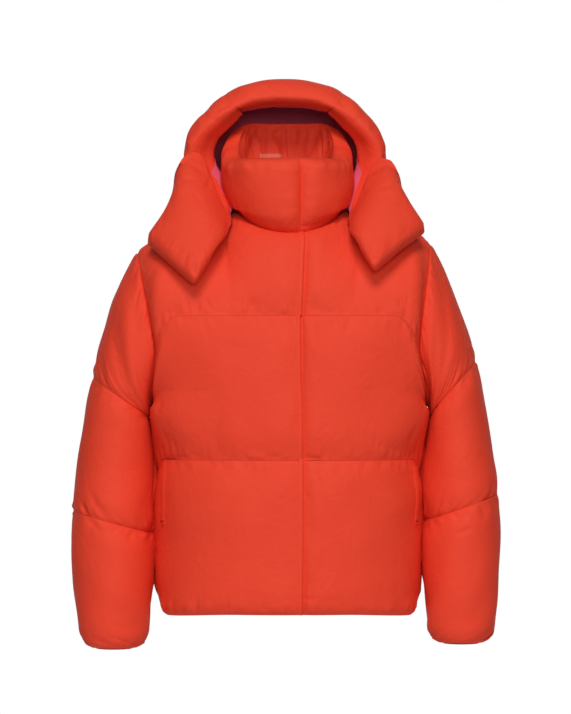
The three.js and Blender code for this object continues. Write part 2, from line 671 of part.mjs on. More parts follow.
// Elastic cuff: a narrow band just inside the sleeve's end
function cuff(side, label) {
  const us = Array.from({ length: SLEEVE_COLUMNS / 2 }, (_, i) => i / (SLEEVE_COLUMNS / 2));
  const bandAt = (inset) => ({
    us,
    vs: [0, 1],
    points: [CUFF.height, -2].map((up) => us.map((u) => {
      const { point, lift } = sleeveRing(side, 3, u * 2 * Math.PI);
      return point.addScaledVector(lift, -inset).add(vec(0, 0, up));
    })),
  });
  solid(`cuff_${label}`, "trim", bandAt(CUFF.gap), bandAt(CUFF.gap + CUFF.wall), true);
}

for (const [side, label] of [[RIGHT, "right"], [LEFT, "left"]]) {
  SLEEVE_PARTS.forEach((_, index) => sleeveSection(side, label, index));
  cuff(side, label);
}

// Collar: two padded halves that meet at the front opening and at the middle of the back
const squared = (x) => Math.sign(x) * Math.abs(x) ** SQUARE_RIM;
function collarWall(angle, v) {
  const base = neckline(angle);
  const s = squared(Math.sin(angle));
  const c = squared(Math.cos(angle));
  const height = lerp(RIM.frontZ, RIM.backZ, smoothstep(Math.sin(angle), RIM_RISES.from, RIM_RISES.to));
  const rim = vec(RIM.x + RIM.wide * c, RIM.deep * s, height);
  const level = vec(c / RIM.wide, s / RIM.deep, 0).normalize();
  const lift = base.lift.lerp(level, smoothstep(v, 0, 0.25)).normalize();
  return { point: base.point.lerp(rim, v), lift };
}

// The collar's lines go on from the lines of the yokes below it.
function collarHalf(side, label) {
  const neckLines = (face, us) => {
    const [start, end] = neckSpan(face, side);
    return us.filter((u) => u <= NECK_SHARE).map((u) => lerp(start, end, u / NECK_SHARE));
  };
  const front = neckLines(FRONT, fronts[side].yoke.us);
  const back = neckLines(BACK, bodyColumns(BACK, 0).us).map((a) => (side === RIGHT ? a - 2 * Math.PI : a));
  const [first, last] = [neckSpan(FRONT, side)[0], back[0]];
  const angles = [...front, ...back.slice(1, -1).reverse(), lerp(last, first, 0.001)];
  const patch = (u, v) => collarWall(lerp(first, last, u), v);
  const us = angles.map((angle) => (angle - first) / (last - first));
  const edges = {
    start: { wall: 14, roll: 14 },
    end: { wall: 16, roll: 20 },
    bottom: { wall: NECK_WALL, roll: 58 },
    top: { wall: 7, roll: 20 },
  };
  const lines = { us, innerUs: us };
  return { ...paddedPanel(`collar_${label}`, patch, { crest: COLLAR_CREST, edges, lines }), first, last };
}
const collars = { [RIGHT]: collarHalf(RIGHT, "right"), [LEFT]: collarHalf(LEFT, "left") };

// Fly: the strip that covers the zip, made from the left front's own points moved out
function fly(panels) {
  const patch = (u, v) => {
    const i = Math.min(Math.floor(v), panels.length - 1);
    return panels[i].patch(u, v - i);
  };
  const us = [0.03, 0.5, 1].map((share) => (share * FLY.width) / HALF_BODY);
  const vs = panels.flatMap((panel, i) => panel.vs.slice(0, -1).map((v) => i + v));
  thinPanel("fly", patch, { us, vs, offset: SEAM_WALL + 0.5, wall: FLY.wall, cloth: "shell" });
}
fly([fronts[LEFT].lower, fronts[LEFT].middle, fronts[LEFT].yoke]);

// Hood: a middle panel and two sides, seated on the yokes just outside the collar
const hoodX = (z) => HOOD_LEAN * smoothstep(z, 0, HOOD_LEAN_TOP);
const hoodPoint = (side) => ({ out, y, z }) => vec(hoodX(z) + side * out, y, z);
const seatCaster = new THREE.Raycaster();
const SEAT_FROM = 90;

// Height of the body's outside under a point beside the neck, and just outside it.
function seatHeight(x, y) {
  const yokes = [fronts[RIGHT].yoke.mesh, fronts[LEFT].yoke.mesh, backYoke.mesh];
  const away = hoodLift(vec(x, y, 0));
  const heights = [-2.5, 0, 3, 7].map((out) => {
    seatCaster.set(vec(x, y, SEAT_FROM).addScaledVector(away, out), vec(0, 0, -1));
    return seatCaster.intersectObjects(yokes)[0].point.z;
  });
  return Math.max(...heights) + SEAT_GAP;
}

function hoodSeat(side) {
  const plan = through(NECK_SEAT.map(({ out, y }) => vec(side * out, y, 0)));
  const heightAt = (t) => {
    const { x, y } = plan(t);
    return seatHeight(x, y);
  };
  return [0, ...steps(0, 1, SEAT_STEPS)].map((t) => {
    const near = [-0.09, -0.06, -0.03, 0, 0.03, 0.06, 0.09].map((step) => heightAt(t + step));
    const { x, y } = plan(t);
    return vec(x, y, Math.max(...near));
  });
}
const hoodCentre = vec(hoodX(HOOD_LEAN_TOP), 70, 80);

// Padding on the hood rises away from the middle of the head space.
function hoodLift(point) {
  const away = point.clone().sub(hoodCentre);
  away.y = away.y > 0 ? away.y : away.y * 0.15;
  const under = smoothstep(point.y, 90, 190); // the hood's lower back hangs free, the rest stands on the yoke
  away.z *= lerp(smoothstep(point.z, -10, 60), 1, under);
  return away.normalize();
}

const lifted = (curve) => (t) => {
  const point = curve(t);
  return { point, lift: hoodLift(point) };
};

function hoodCurves(side) {
  const at = hoodPoint(side);
  const seat = hoodSeat(side);
  return {
    opening: through([...HOOD_OPENING.map(at), seat.at(-1)]),
    seamTop: through(HOOD_SEAM_TOP.map(at)),
    seamBack: through([...HOOD_SEAM_BACK.map(at), seat[0]]),
    seat: through(seat),
  };
}

const HOOD_EDGES = {
  opening: { wall: 12, roll: 24 },
  seam: { wall: 9, roll: 34 },
  seat: { wall: 6, roll: 40 },
};

const LINING_END = 4; // the lining stops this far above the seat
function hoodSide(side, label) {
  const curves = hoodCurves(side);
  const patch = coons(
    lifted(curves.opening),
    lifted(curves.seamBack),
    lifted(curves.seamTop),
    lifted((t) => curves.seat(1 - t)),
  );
  const { opening, seam, seat } = HOOD_EDGES;
  const edges = { bottom: opening, top: seam, start: seam, end: seat };
  return { ...paddedPanel(`hood_${label}`, patch, { crest: HOOD_CREST, edges, lines: hoodLines }), curves };
}

// Both sides have the same lines, so that the middle panel can meet them point to point.
function sideLines() {
  const { opening, seat } = hoodCurves(LEFT);
  const us = gridLines(lengthOf(opening), true, true);
  const vs = gridLines(lengthOf(seat), true, true);
  return { us, vs, innerUs: coarser(us).slice(0, -1).concat(us.slice(-2)), innerVs: vs };
}
const hoodLines = sideLines();

function hoodMiddle(sides) {
  const rim = through([
    ...HOOD_RIM.map(hoodPoint(RIGHT)).reverse(),
    ...HOOD_RIM.slice(1).map(hoodPoint(LEFT)),
  ]);
  const [from, to] = [sides[RIGHT], sides[LEFT]].map(({ curves }) => curves.seat(0));
  const backSeat = through([0, 0.25, 0.5, 0.75, 1].map((t) => {
    const { x, y } = from.clone().lerp(to, t).add(vec(0, 12 * Math.sin(Math.PI * t), 0));
    return vec(x, y, t % 1 ? seatHeight(x, y) + 1.6 * SEAT_GAP : from.z * (1 - t) + to.z * t);
  }));
  const { curves } = sides[LEFT];
  const split = lengthOf(curves.seamTop) / (lengthOf(curves.seamTop) + lengthOf(curves.seamBack));
  const seamOf = (side) => (t) => {
    const { seamTop, seamBack } = sides[side].curves;
    return t < split ? seamTop(t / split) : seamBack((t - split) / (1 - split));
  };
  const ridge = through([...HOOD_MIDDLE.map(hoodPoint(LEFT)), backSeat(0.5)]);
  const flat = coons(lifted(rim), lifted(backSeat), lifted(seamOf(RIGHT)), lifted(seamOf(LEFT)));
  const patch = (u, v) => {
    const { point, lift } = flat(u, v);
    const bulge = ridge(v).sub(flat(0.5, v).point).multiplyScalar(4 * u * (1 - u));
    return { point: point.add(bulge), lift };
  };
  // The seams' lines go round from the top edge of a side to its back edge.
  const around = (down, along) => [
    ...down.slice(0, -1).map((v) => v * split),
    ...along.map((u) => split + u * (1 - split)),
  ];
  const lines = {
    vs: around(sides[LEFT].vs, sides[LEFT].us),
    innerVs: around(sides[LEFT].innerVs, sides[LEFT].innerUs),
  };
  const { opening, seam, seat } = HOOD_EDGES;
  const edges = { bottom: opening, top: seat, start: seam, end: seam };
  return paddedPanel("hood_middle", patch, { crest: HOOD_CREST, edges, lines });
}

const hoodSides = { [RIGHT]: hoodSide(RIGHT, "right"), [LEFT]: hoodSide(LEFT, "left") };
const hoodCrown = hoodMiddle(hoodSides);

// Flaps: the hood's front ends, opened out over the shoulders and padded on both faces
function hoodFlap(side, label) {
  const { curves } = hoodSides[side];
  const flap = FLAPS[side];
  const at = ({ x, y, z }) => vec(x, y, z);
  const rootLift = (point) => hoodLift(point);
  const endLift = vec(side * 0.1, 0.8, -0.6).normalize();
  const half = HOOD_EDGES.opening.wall / 2;
  const rootLines = hoodSides[side].us.filter((u) => u >= FLAP_ROOT_TOP);
  const [first, last] = [rootLines[0], rootLines.at(-1)];
  const vs = rootLines.map((u) => (u - first) / (last - first));
  const root = (t) => {
    const point = curves.opening(lerp(first, last, t));
    point.addScaledVector(rootLift(point), half).add(vec(0, -ROOT_GAP - half * ROOT_LEAN, 0));
    return { point, lift: rootLift(point).add(vec(0, -ROOT_LEAN, 0)).normalize() };
  };
  const outer = through([root(0).point, ...flap.outer.map(at), at(flap.endOuter)]);
  const inner = through([root(1).point, ...flap.inner.map(at), at(flap.endInner)]);
  const end = through([flap.endOuter, flap.endMiddle, flap.endInner].map(at));
  const turning = (curve, t0) => (t) => ({
    point: curve(t),
    lift: root(t0).lift.lerp(endLift, smoothstep(t, 0, 0.8)).normalize(),
  });
  const across = coons(turning(outer, 0), turning(inner, 1), root, (t) => ({ point: end(t), lift: endLift.clone() }));
  const edge = { wall: HOOD_EDGES.opening.wall, roll: 30 };
  const edges = { bottom: edge, top: edge, start: { ...edge, roll: 50 }, end: edge };
  paddedPanel(`hood_flap_${label}`, across, { crest: FLAP_CREST, edges, lines: { vs }, inside: 0.5 });
}
hoodFlap(RIGHT, "right");
hoodFlap(LEFT, "left");

// Lining: a thin layer against the hood's inside, from behind its facing to just above the neck
const LINING_GAP = 0.5;
function hoodLining(name, { patch, innerUs, innerVs }, from, trim) {
  const us = trim.us ? innerUs.slice(0, -1) : innerUs;
  const vs = (trim.vs ? innerVs.slice(0, -1) : innerVs).slice(from);
  const layer = { us, vs, offset: -LINING_GAP - THIN_CLOTH, wall: THIN_CLOTH, cloth: "lining" };
  thinPanel(`lining_${name}`, patch, layer);
}
hoodLining("right", hoodSides[RIGHT], 1, { us: true });
hoodLining("left", hoodSides[LEFT], 1, { us: true });
hoodLining("middle", hoodCrown, 1, { vs: true });

// Pocket welts on the lower fronts, towards the side seams
function pocket({ lower }, label) {
  const share = (z) => (z - HEM) / (WAIST_SEAM.side - HEM);
  const us = [POCKET.from, (POCKET.from + POCKET.to) / 2, POCKET.to];
  const vs = [share(POCKET.bottom), ...steps(share(POCKET.bottom), share(POCKET.top), 6)];
  const offset = BODY_CREST + 0.5;
  thinPanel(`pocket_${label}`, lower.patch, { us, vs, offset, wall: POCKET.wall, cloth: "shell" });
}
pocket(fronts[RIGHT], "right");
pocket(fronts[LEFT], "left");

// Label: a plain woven tab on the inside of the collar's back
function neckLabel({ patch, us: lines, first, last }) {
  const place = (x) => (angleAtX(x, BACK) - 2 * Math.PI - first) / (last - first);
  const [from, to] = [place(LABEL.fromX), place(LABEL.toX)];
  const us = [from, ...lines.filter((u) => u > from && u < to), to];
  const vs = [LABEL.lowShare, LABEL.topShare];
  const offset = -LABEL.wall - 0.4;
  thinPanel("neck_label", facetted(patch, lines), { us, vs, offset, wall: LABEL.wall, cloth: "trim" });
}
neckLabel(collars[RIGHT]);

const jacket = new THREE.Group();
jacket.add(...meshes);
export default jacket;
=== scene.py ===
# A short hooded puffer jacket in red-orange nylon, filled out as if worn, with nobody in it.
# Lengths are in millimetres until a mesh is made. +Z is up, the front faces -Y,
# and the wearer's left is +X, as in the solids.
import math

import bpy
import numpy as np
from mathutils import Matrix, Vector
from mathutils.bvhtree import BVHTree


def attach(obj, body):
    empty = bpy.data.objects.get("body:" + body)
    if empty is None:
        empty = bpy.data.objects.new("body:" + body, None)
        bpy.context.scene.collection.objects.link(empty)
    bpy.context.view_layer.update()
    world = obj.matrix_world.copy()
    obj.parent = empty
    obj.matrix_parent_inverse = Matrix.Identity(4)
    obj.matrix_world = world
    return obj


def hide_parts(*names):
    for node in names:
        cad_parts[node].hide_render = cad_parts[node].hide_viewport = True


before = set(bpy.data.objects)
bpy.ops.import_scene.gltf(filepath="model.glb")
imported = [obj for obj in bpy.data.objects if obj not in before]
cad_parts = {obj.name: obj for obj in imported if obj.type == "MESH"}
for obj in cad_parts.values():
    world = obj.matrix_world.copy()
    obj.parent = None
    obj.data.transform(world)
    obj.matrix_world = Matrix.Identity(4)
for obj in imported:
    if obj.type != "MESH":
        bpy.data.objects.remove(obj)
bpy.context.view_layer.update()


# Body. Two fronts and a back of down-filled nylon, each quilted by two seams into three puffs.
# A puff is shell cloth cut wider than its seams, blown out by down and gathered at the stitching,
# over a plain inside.
RIGHT, LEFT = -1, 1
FRONT, BACK = -1, 1
SIDES = ((RIGHT, "right"), (LEFT, "left"))
CELL = 4.4  # mesh step on the puffs
SEAM_GAP = 0.05
SEAM_WALL = 8
BODY_CREST = 24
HEM, FRONT_HEM_LIFT = -618, 6
WAIST_SEAM = (-377, -402)
YOKE_SEAM = (-157, -200)
WAIST_BEND, YOKE_BEND = 0.8, 0.72
UNDERARM = -285
# height, half width, how far the front stands out, how far the back does
TORSO = [
    (-618, 177, 118, 120),
    (-570, 181, 123, 124),
    (-480, 183, 127, 127),
    (-377, 185, 128, 129),
    (-285, 187, 126, 131),
    (-157, 187, 118, 128),
    (-80, 187, 98, 112),
    (-20, 187, 76, 88),
]
TORSO_MIDDLE = -2
ROUNDNESS = 2 / 2.35
# shoulder point's x and z, underarm's x, bulge forwards and backwards
ARMHOLE = {RIGHT: (-234, -68, -189, 76, 82), LEFT: (216, -55, 185, 76, 82)}
FLY_X, FLY_WIDTH = 12.5, 7
NECK_WIDE, NECK_DEEP = 70, 76
NECK_SHARE = 0.42
YOKE_ROUND = 11
LET_OUT = 19
LUMP = 1.3


def smooth(value, low, high):
    t = np.clip((np.asarray(value, float) - low) / (high - low), 0, 1)
    return t * t * (3 - 2 * t)


def mix(a, b, share):
    return a + (b - a) * share


def unit(vectors):
    return vectors / np.linalg.norm(vectors, axis=-1, keepdims=True)


def read(table, column, at):
    """A table's column between its rows, on a smooth curve through them."""
    last = len(table) - 1
    i = 0
    while i < last - 1 and table[i + 1][0] < at:
        i += 1

    def slope(k):
        before, after = table[max(k - 1, 0)], table[min(k + 1, last)]
        return (after[column] - before[column]) / (after[0] - before[0])

    span = table[i + 1][0] - table[i][0]
    t = min(max((at - table[i][0]) / span, 0), 1)
    start, end = table[i][column], table[i + 1][column]
    bend = slope(i) * span * t * (1 - t) ** 2 - slope(i + 1) * span * t * t * (1 - t)
    return start + (end - start) * t * t * (3 - 2 * t) + bend


def by_length(line):
    """A line of points as a function of the share of its length."""
    reach = np.concatenate([[0], np.cumsum(np.linalg.norm(np.diff(line, axis=0), axis=1))])

    def at(share):
        where = np.clip(share, 0, 1) * reach[-1]
        return np.stack([np.interp(where, reach, line[:, k]) for k in range(3)], -1)

    at.length = reach[-1]
    return at


def through(points):
    """A smooth curve through points, by the share of its length."""
    p = np.array(points, float)
    p = np.vstack([2 * p[0] - p[1], p, 2 * p[-1] - p[-2]])
    t = np.linspace(0, 1, 40, endpoint=False)[:, None]
    line = []
    for a, b, c, d in zip(p, p[1:], p[2:], p[3:]):
        da, db, dc = (math.sqrt(math.dist(x, y)) for x, y in ((a, b), (b, c), (c, d)))
        start = ((b - a) / da - (c - a) / (da + db) + (c - b) / db) * db
        end = ((c - b) / db - (d - b) / (db + dc) + (d - c) / dc) * db
        bend = 2 * b - 2 * c + start + end
        line.append(b + start * t + (c - b - start - bend) * t**2 + bend * t**3)
    return by_length(np.vstack([*line, p[-2][None]]))


def armhole(side, face, angle):
    """Armhole point and the padding's direction there: 0 is the shoulder point, pi the underarm."""
    top_x, top_z, low_x, front, back = ARMHOLE[side]
    middle = np.array([(top_x + low_x) / 2, 0, (top_z + UNDERARM) / 2])
    up = np.array([(top_x - low_x) / 2, 0, (top_z - UNDERARM) / 2])
    bulge = face * (front if face == FRONT else back)
    c, s = np.cos(angle)[..., None], np.sin(angle)[..., None]
    point = middle + up * c + np.array([0, bulge, 0]) * s
    return point, unit(up * c / (up @ up) + np.array([0, 1 / bulge, 0]) * s)


def armhole_angle(side, z):
    top_z = ARMHOLE[side][1]
    middle = (top_z + UNDERARM) / 2
    return np.arccos(np.clip((np.asarray(z, float) - middle) / (top_z - middle), -1, 1))


def row_point(face, side, z, share):
    """One row of the body's inside, from its middle (0) to its side or armhole (1)."""
    way = -side if share < 0 else side
    if z > UNDERARM:
        end = armhole(way, face, armhole_angle(way, z))[0]
    else:
        end = np.array([TORSO_MIDDLE + way * read(TORSO, 1, z), 0, z])
    depth = read(TORSO, 2 if face == FRONT else 3, z)
    quarter = np.linspace(0, math.pi / 2, 33)
    across = np.sin(quarter) ** ROUNDNESS
    forward = np.abs(np.cos(quarter)) ** ROUNDNESS
    out = face * (abs(end[1]) + (depth - abs(end[1])) * forward)
    line = np.stack([end[0] * across, out, np.full(33, float(z))], -1)
    return by_length(line)(abs(share))


def row_lift(face, side, z, share):
    a = row_point(face, side, z, min(share, 1) - 0.01)
    b = row_point(face, side, z, min(share + 0.01, 1))
    along = (b - a) * side * face
    return unit(np.array([-along[1], along[0], 0]))


def hem_row(share):
    return HEM


def front_hem_row(share):
    return HEM + FRONT_HEM_LIFT * (1 - smooth(abs(share), 0.3, 0.95))


def waist_row(share):
    return mix(*WAIST_SEAM, smooth(abs(share), WAIST_BEND, 1))


def yoke_row(share):
    return mix(*YOKE_SEAM, smooth(abs(share), YOKE_BEND, 1))


def row_edge(face, side, height, start):
    """A panel's lower or upper edge, as points and padding directions."""

    def at(t):
        points, lifts = [], []
        for share in mix(start, 1, np.asarray(t)):
            z = float(height(share))
            points.append(row_point(face, side, z, share))
            lift = row_lift(face, side, z, share)
            if z > UNDERARM:
                turn = smooth(share, 0.75, 1)
                lift = unit(mix(lift, armhole(side, face, armhole_angle(side, z))[1], turn))
            lifts.append(lift)
        return np.array(points), np.array(lifts)

    return at


def side_edge(face, side, low, high):
    """A panel's edge down the side seam and round the armhole."""
    straight = max(min(UNDERARM, high) - low, 0)
    angles = armhole_angle(side, [max(low, UNDERARM), high])
    arc = by_length(armhole(side, face, np.linspace(*angles, 33))[0]) if high > UNDERARM else None
    curved = arc.length if arc else 0
    outwards = np.array([side, 0, 0])
    down = armhole(side, face, np.array(math.pi))[1]

    def at(t):
        points, lifts = [], []
        for reach in np.asarray(t) * (straight + curved):
            if reach < straight or not arc:
                z = low + min(reach, straight)
                points.append(row_point(face, side, z, 1))
                lifts.append(unit(mix(outwards, down, smooth(z, UNDERARM - 45, UNDERARM))))
            else:
                point = arc((reach - straight) / curved)
                points.append(point)
                lifts.append(armhole(side, face, armhole_angle(side, point[2]))[1])
        return np.array(points), np.array(lifts)

    return at


def centre_edge(face, side, start, low, high):
    def at(t):
        points = [row_point(face, side, z, start) for z in mix(low, high, np.asarray(t))]
        return np.array(points), np.tile([0.0, face, 0.0], (len(points), 1))

    return at


def neckline(angle):
    """Neckline by the angle around it: 0 is the wearer's left, a quarter turn the back."""
    s, c = np.sin(angle), np.cos(angle)
    point = np.stack([NECK_WIDE * c, NECK_DEEP * s, -2 + 23 * s - 6 * s * s], -1)
    level = unit(np.stack([c / NECK_WIDE, s / NECK_DEEP, np.zeros_like(c)], -1))
    level[..., 2] = mix(0.25, 1, c * c)
    return point, unit(level)


def neck_span(face, side):
    from_middle = math.acos((FLY_X if face == FRONT else 0) / NECK_WIDE)
    return face * from_middle, (0 if side == LEFT else face * math.pi)


def yoke_top(face, side):
    """Top edge of half a yoke: neckline, then shoulder seam."""
    start, end = neck_span(face, side)
    corner, corner_lift = neckline(np.array([end]))
    tip, tip_lift = armhole(side, face, np.array(0.0))
    seam_lift = unit(np.array([side * 0.43, 0, 0.9]))

    def at(t):
        t = np.asarray(t)
        on_neck, neck_lift = neckline(mix(start, end, np.clip(t / NECK_SHARE, 0, 1)))
        share = np.clip((t - NECK_SHARE) / (1 - NECK_SHARE), 0, 1)[:, None]
        lift = mix(corner_lift, seam_lift, smooth(share, 0, 0.3))
        lift = unit(mix(lift, tip_lift, smooth(share, 0.8, 1)))
        below = (t < NECK_SHARE)[:, None]
        return np.where(below, on_neck, mix(corner, tip, share)), np.where(below, neck_lift, lift)

    return at


def coons(bottom, top, start, end, reach=(1, 1)):
    """A four-sided panel from its edges, for its points and the padding's directions."""

    def at(u, v):
        edges = [bottom(u), top(u), start(v), end(v)]
        first = ((1 - u) ** reach[0])[None, :, None]
        last = (u ** reach[1])[None, :, None]
        rise = v[:, None, None]
        found = []
        for k in (0, 1):
            low, high, left, right = (edge[k] for edge in edges)
            corners = [bottom(np.array([0.0, 1.0]))[k], top(np.array([0.0, 1.0]))[k]]
            grid = low[None] * (1 - rise) + high[None] * rise
            grid = grid + left[:, None] * first + right[:, None] * last
            for pull, j in ((first, 0), (last, 1)):
                grid = grid - pull * (corners[0][j] * (1 - rise) + corners[1][j] * rise)
            found.append(grid)
        return found[0], unit(found[1])

    return at


def rounded(patch, across):
    """Rounds a yoke's inside over the chest and the shoulder blades."""

    def at(u, v):
        point, lift = patch(u, v)
        height = YOKE_ROUND * np.sin(math.pi * v)[:, None] ** 2 * across(u)[None]
        return point + lift * height[..., None], lift

    return at


def roll(distance, radius, soft=0.0):
    """How a puff rises from its seam: a quarter round where it is tight, a gentler swell where soft."""
    t = np.clip(distance / radius, 0, 1)
    return mix(np.sqrt(1 - (1 - t) ** 2), np.sin(math.pi / 2 * t), soft)


def steps_between(points, axis):
    return np.linalg.norm(np.diff(points, axis=axis), axis=-1)


def puff_height(crest, edges, reach, along):
    height = np.full(reach["start"].shape, float(crest))
    for name, edge in edges.items():
        wall = edge["wall"](along[name]) if callable(edge["wall"]) else edge["wall"]
        share = wall / crest
        rise = roll(reach[name] - edge.get("flat", 0), edge["roll"], edge.get("soft", 0))
        height = height * (share + (1 - share) * rise)
    return np.maximum(height, 3)


def lengthened(grid, wanted, axis):
    """How far each point moves where the steps along one axis grow to the wanted lengths."""
    steps = np.diff(grid, axis=axis)
    length = np.linalg.norm(steps, axis=-1, keepdims=True) + 1e-6
    more = steps / length * np.maximum(wanted[..., None] - length, 0)
    moved = np.insert(np.cumsum(more, axis=axis), 0, 0, axis=axis)
    return moved - np.take(moved, [moved.shape[axis] // 2], axis=axis)


def cut_for(skin, crested):
    """The cloth's cut: as wide along a seam as the puff's crest is, and long enough to roll over."""
    longer = lengthened(crested, steps_between(skin, 1), 1)
    return crested + longer + lengthened(crested, steps_between(skin, 0), 0)


def padded_panel(name, patch, crest, edges, inside=0.0, closed=False, squeeze=None, tall=None):
    """A panel's outer and inner skins as grids, with the cut that its cloth had before it was sewn.
    inside is the share of the padding on the patch's other side."""
    probe = np.linspace(0, 1, 17)
    rough = patch(probe, probe)[0]
    wide = steps_between(rough, 1).sum(1)
    heights = steps_between(rough, 0).sum(0)
    columns = 2 * max(round(wide.max() / CELL / 2), 2)
    rows = 2 * max(round(heights.max() / CELL / 2), 2)
    gap = 0 if closed else SEAM_GAP / wide.mean()
    u = np.linspace(gap, 1 - gap, columns + 1)
    v = np.linspace(SEAM_GAP / heights.mean(), 1 - SEAM_GAP / heights.mean(), rows + 1)
    point, lift = patch(u, v)
    across = np.interp(v, probe, wide)[:, None]
    upwards = np.interp(u, probe, heights)[None] if tall is None else np.full((1, len(u)), tall)
    reach = {
        "start": u[None] * across,
        "end": (1 - u[None]) * across,
        "bottom": v[:, None] * upwards,
        "top": (1 - v[:, None]) * upwards,
    }
    grid_u, grid_v = np.broadcast_arrays(u[None], v[:, None])
    along = {"start": grid_v, "end": grid_v, "bottom": grid_u, "top": grid_u}
    height = puff_height(crest, edges, reach, along)
    if squeeze is not None:
        height = np.maximum(height * squeeze(u, v), 3)
    height = height[..., None]
    outer = point + lift * height * (1 - inside)
    inner = point - lift * height * inside
    flat = [edges[k].get("flat", 0) + SEAM_GAP for k in edges]
    panel = {
        "name": name,
        "u": u,
        "v": v,
        "outer": outer,
        "inner": inner,
        "cut": cut_for(outer, point + lift * crest * (1 - inside)),
        "inner_cut": cut_for(inner, point - lift * crest * inside),
        "lift": lift,
        "held": np.logical_or.reduce([reach[k] <= f for k, f in zip(edges, flat)]),
        "reach": {k: reach[k] for k in edges},
        "across": np.cumsum(np.pad(steps_between(outer, 1), ((0, 0), (1, 0))), axis=1),
        "upwards": np.cumsum(np.pad(steps_between(outer, 0), ((1, 0), (0, 0))), axis=0),
        "closed": closed,
        "crisp": [not edges.get(k, {}).get("free") for k in ("bottom", "top", "start", "end")],
    }
    facing = np.cross(np.diff(point, axis=1)[:-1], np.diff(point, axis=0)[:, :-1])
    if (facing * lift[:-1, :-1]).sum() < 0:
        panel["u"] = u[::-1]
        panel["reach"] = {k: r[:, ::-1] for k, r in panel["reach"].items()}
        panel["crisp"][2:] = panel["crisp"][:1:-1]
        for key in ("held", "outer", "inner", "cut", "inner_cut", "lift", "across", "upwards"):
            panel[key] = panel[key][:, ::-1]
    return panel


def resampled(grid, rows_at, columns_at):
    """A grid read off at other places, given as line numbers with fractions."""
    rows, columns = grid.shape[:2]
    j0 = np.clip(rows_at.astype(int), 0, rows - 2)
    i0 = np.clip(columns_at.astype(int), 0, columns - 2)
    fj, fi = (rows_at - j0)[..., None], (columns_at - i0)[..., None]
    low = mix(grid[j0, i0], grid[j0, i0 + 1], fi)
    high = mix(grid[j0 + 1, i0], grid[j0 + 1, i0 + 1], fi)
    return mix(low, high, fj)


def cut_round(panel, radius):
    """Rounds a panel's two corners at its end edge."""
    rows, columns = panel["outer"].shape[:2]
    number_i, number_j = np.meshgrid(np.arange(columns, dtype=float), np.arange(rows, dtype=float))
    reach = panel["reach"]
    backwards = reach["end"][0, 0] < reach["end"][0, -1]
    step_i = reach["end"].max(1, keepdims=True) / (columns - 1)
    step_j = (reach["bottom"] + reach["top"]).max(0, keepdims=True) / (rows - 1)
    for edge, way in (("bottom", 1), ("top", -1)):
        p = np.clip(1 - reach["end"] / radius, 0, 1)
        q = np.clip(1 - reach[edge] / radius, 0, 1)
        both = (p > 0) & (q > 0)
        move_p = np.where(both, p - p * np.sqrt(1 - q * q / 2), 0) * radius
        move_q = np.where(both, q - q * np.sqrt(1 - p * p / 2), 0) * radius
        number_i += (1 if backwards else -1) * move_p / step_i
        number_j += way * move_q / step_j
    for key in ("outer", "inner", "cut", "inner_cut", "lift"):
        panel[key] = resampled(panel[key], number_j, number_i)


def let_out(points):
    """Beside the underarm the body's padding pushes the armhole outwards."""
    wide = np.abs(points[..., 0])
    high = smooth(-points[..., 2], 185, 285) * (1 - smooth(-points[..., 2], 300, 372))
    push = LET_OUT * high * smooth(wide, 110, 185) * (1 - smooth(wide, 188, 226))
    moved = points.copy()
    moved[..., 0] += np.sign(points[..., 0]) * push
    return moved


def lumps(seed, across, upwards, size):
    """Down lies unevenly in its puff, in broad low lumps."""
    rng = np.random.default_rng(seed)
    total = np.zeros_like(across)
    for _ in range(9):
        turn, length = rng.uniform(0, math.pi), rng.uniform(60, 150)
        wave = (across * math.cos(turn) + upwards * math.sin(turn)) / length
        total += np.sin(2 * math.pi * (wave + rng.random()))
    return size * total / 3


def sheet_mesh(name, grid):
    rows, columns = grid.shape[:2]
    ids = np.arange(rows * columns).reshape(rows, columns)
    faces = np.stack([ids[:-1, :-1], ids[:-1, 1:], ids[1:, 1:], ids[1:, :-1]], -1).reshape(-1, 4)
    mesh = bpy.data.meshes.new(name)
    mesh.from_pydata((grid.reshape(-1, 3) / 1000).tolist(), [], faces.tolist())
    return mesh


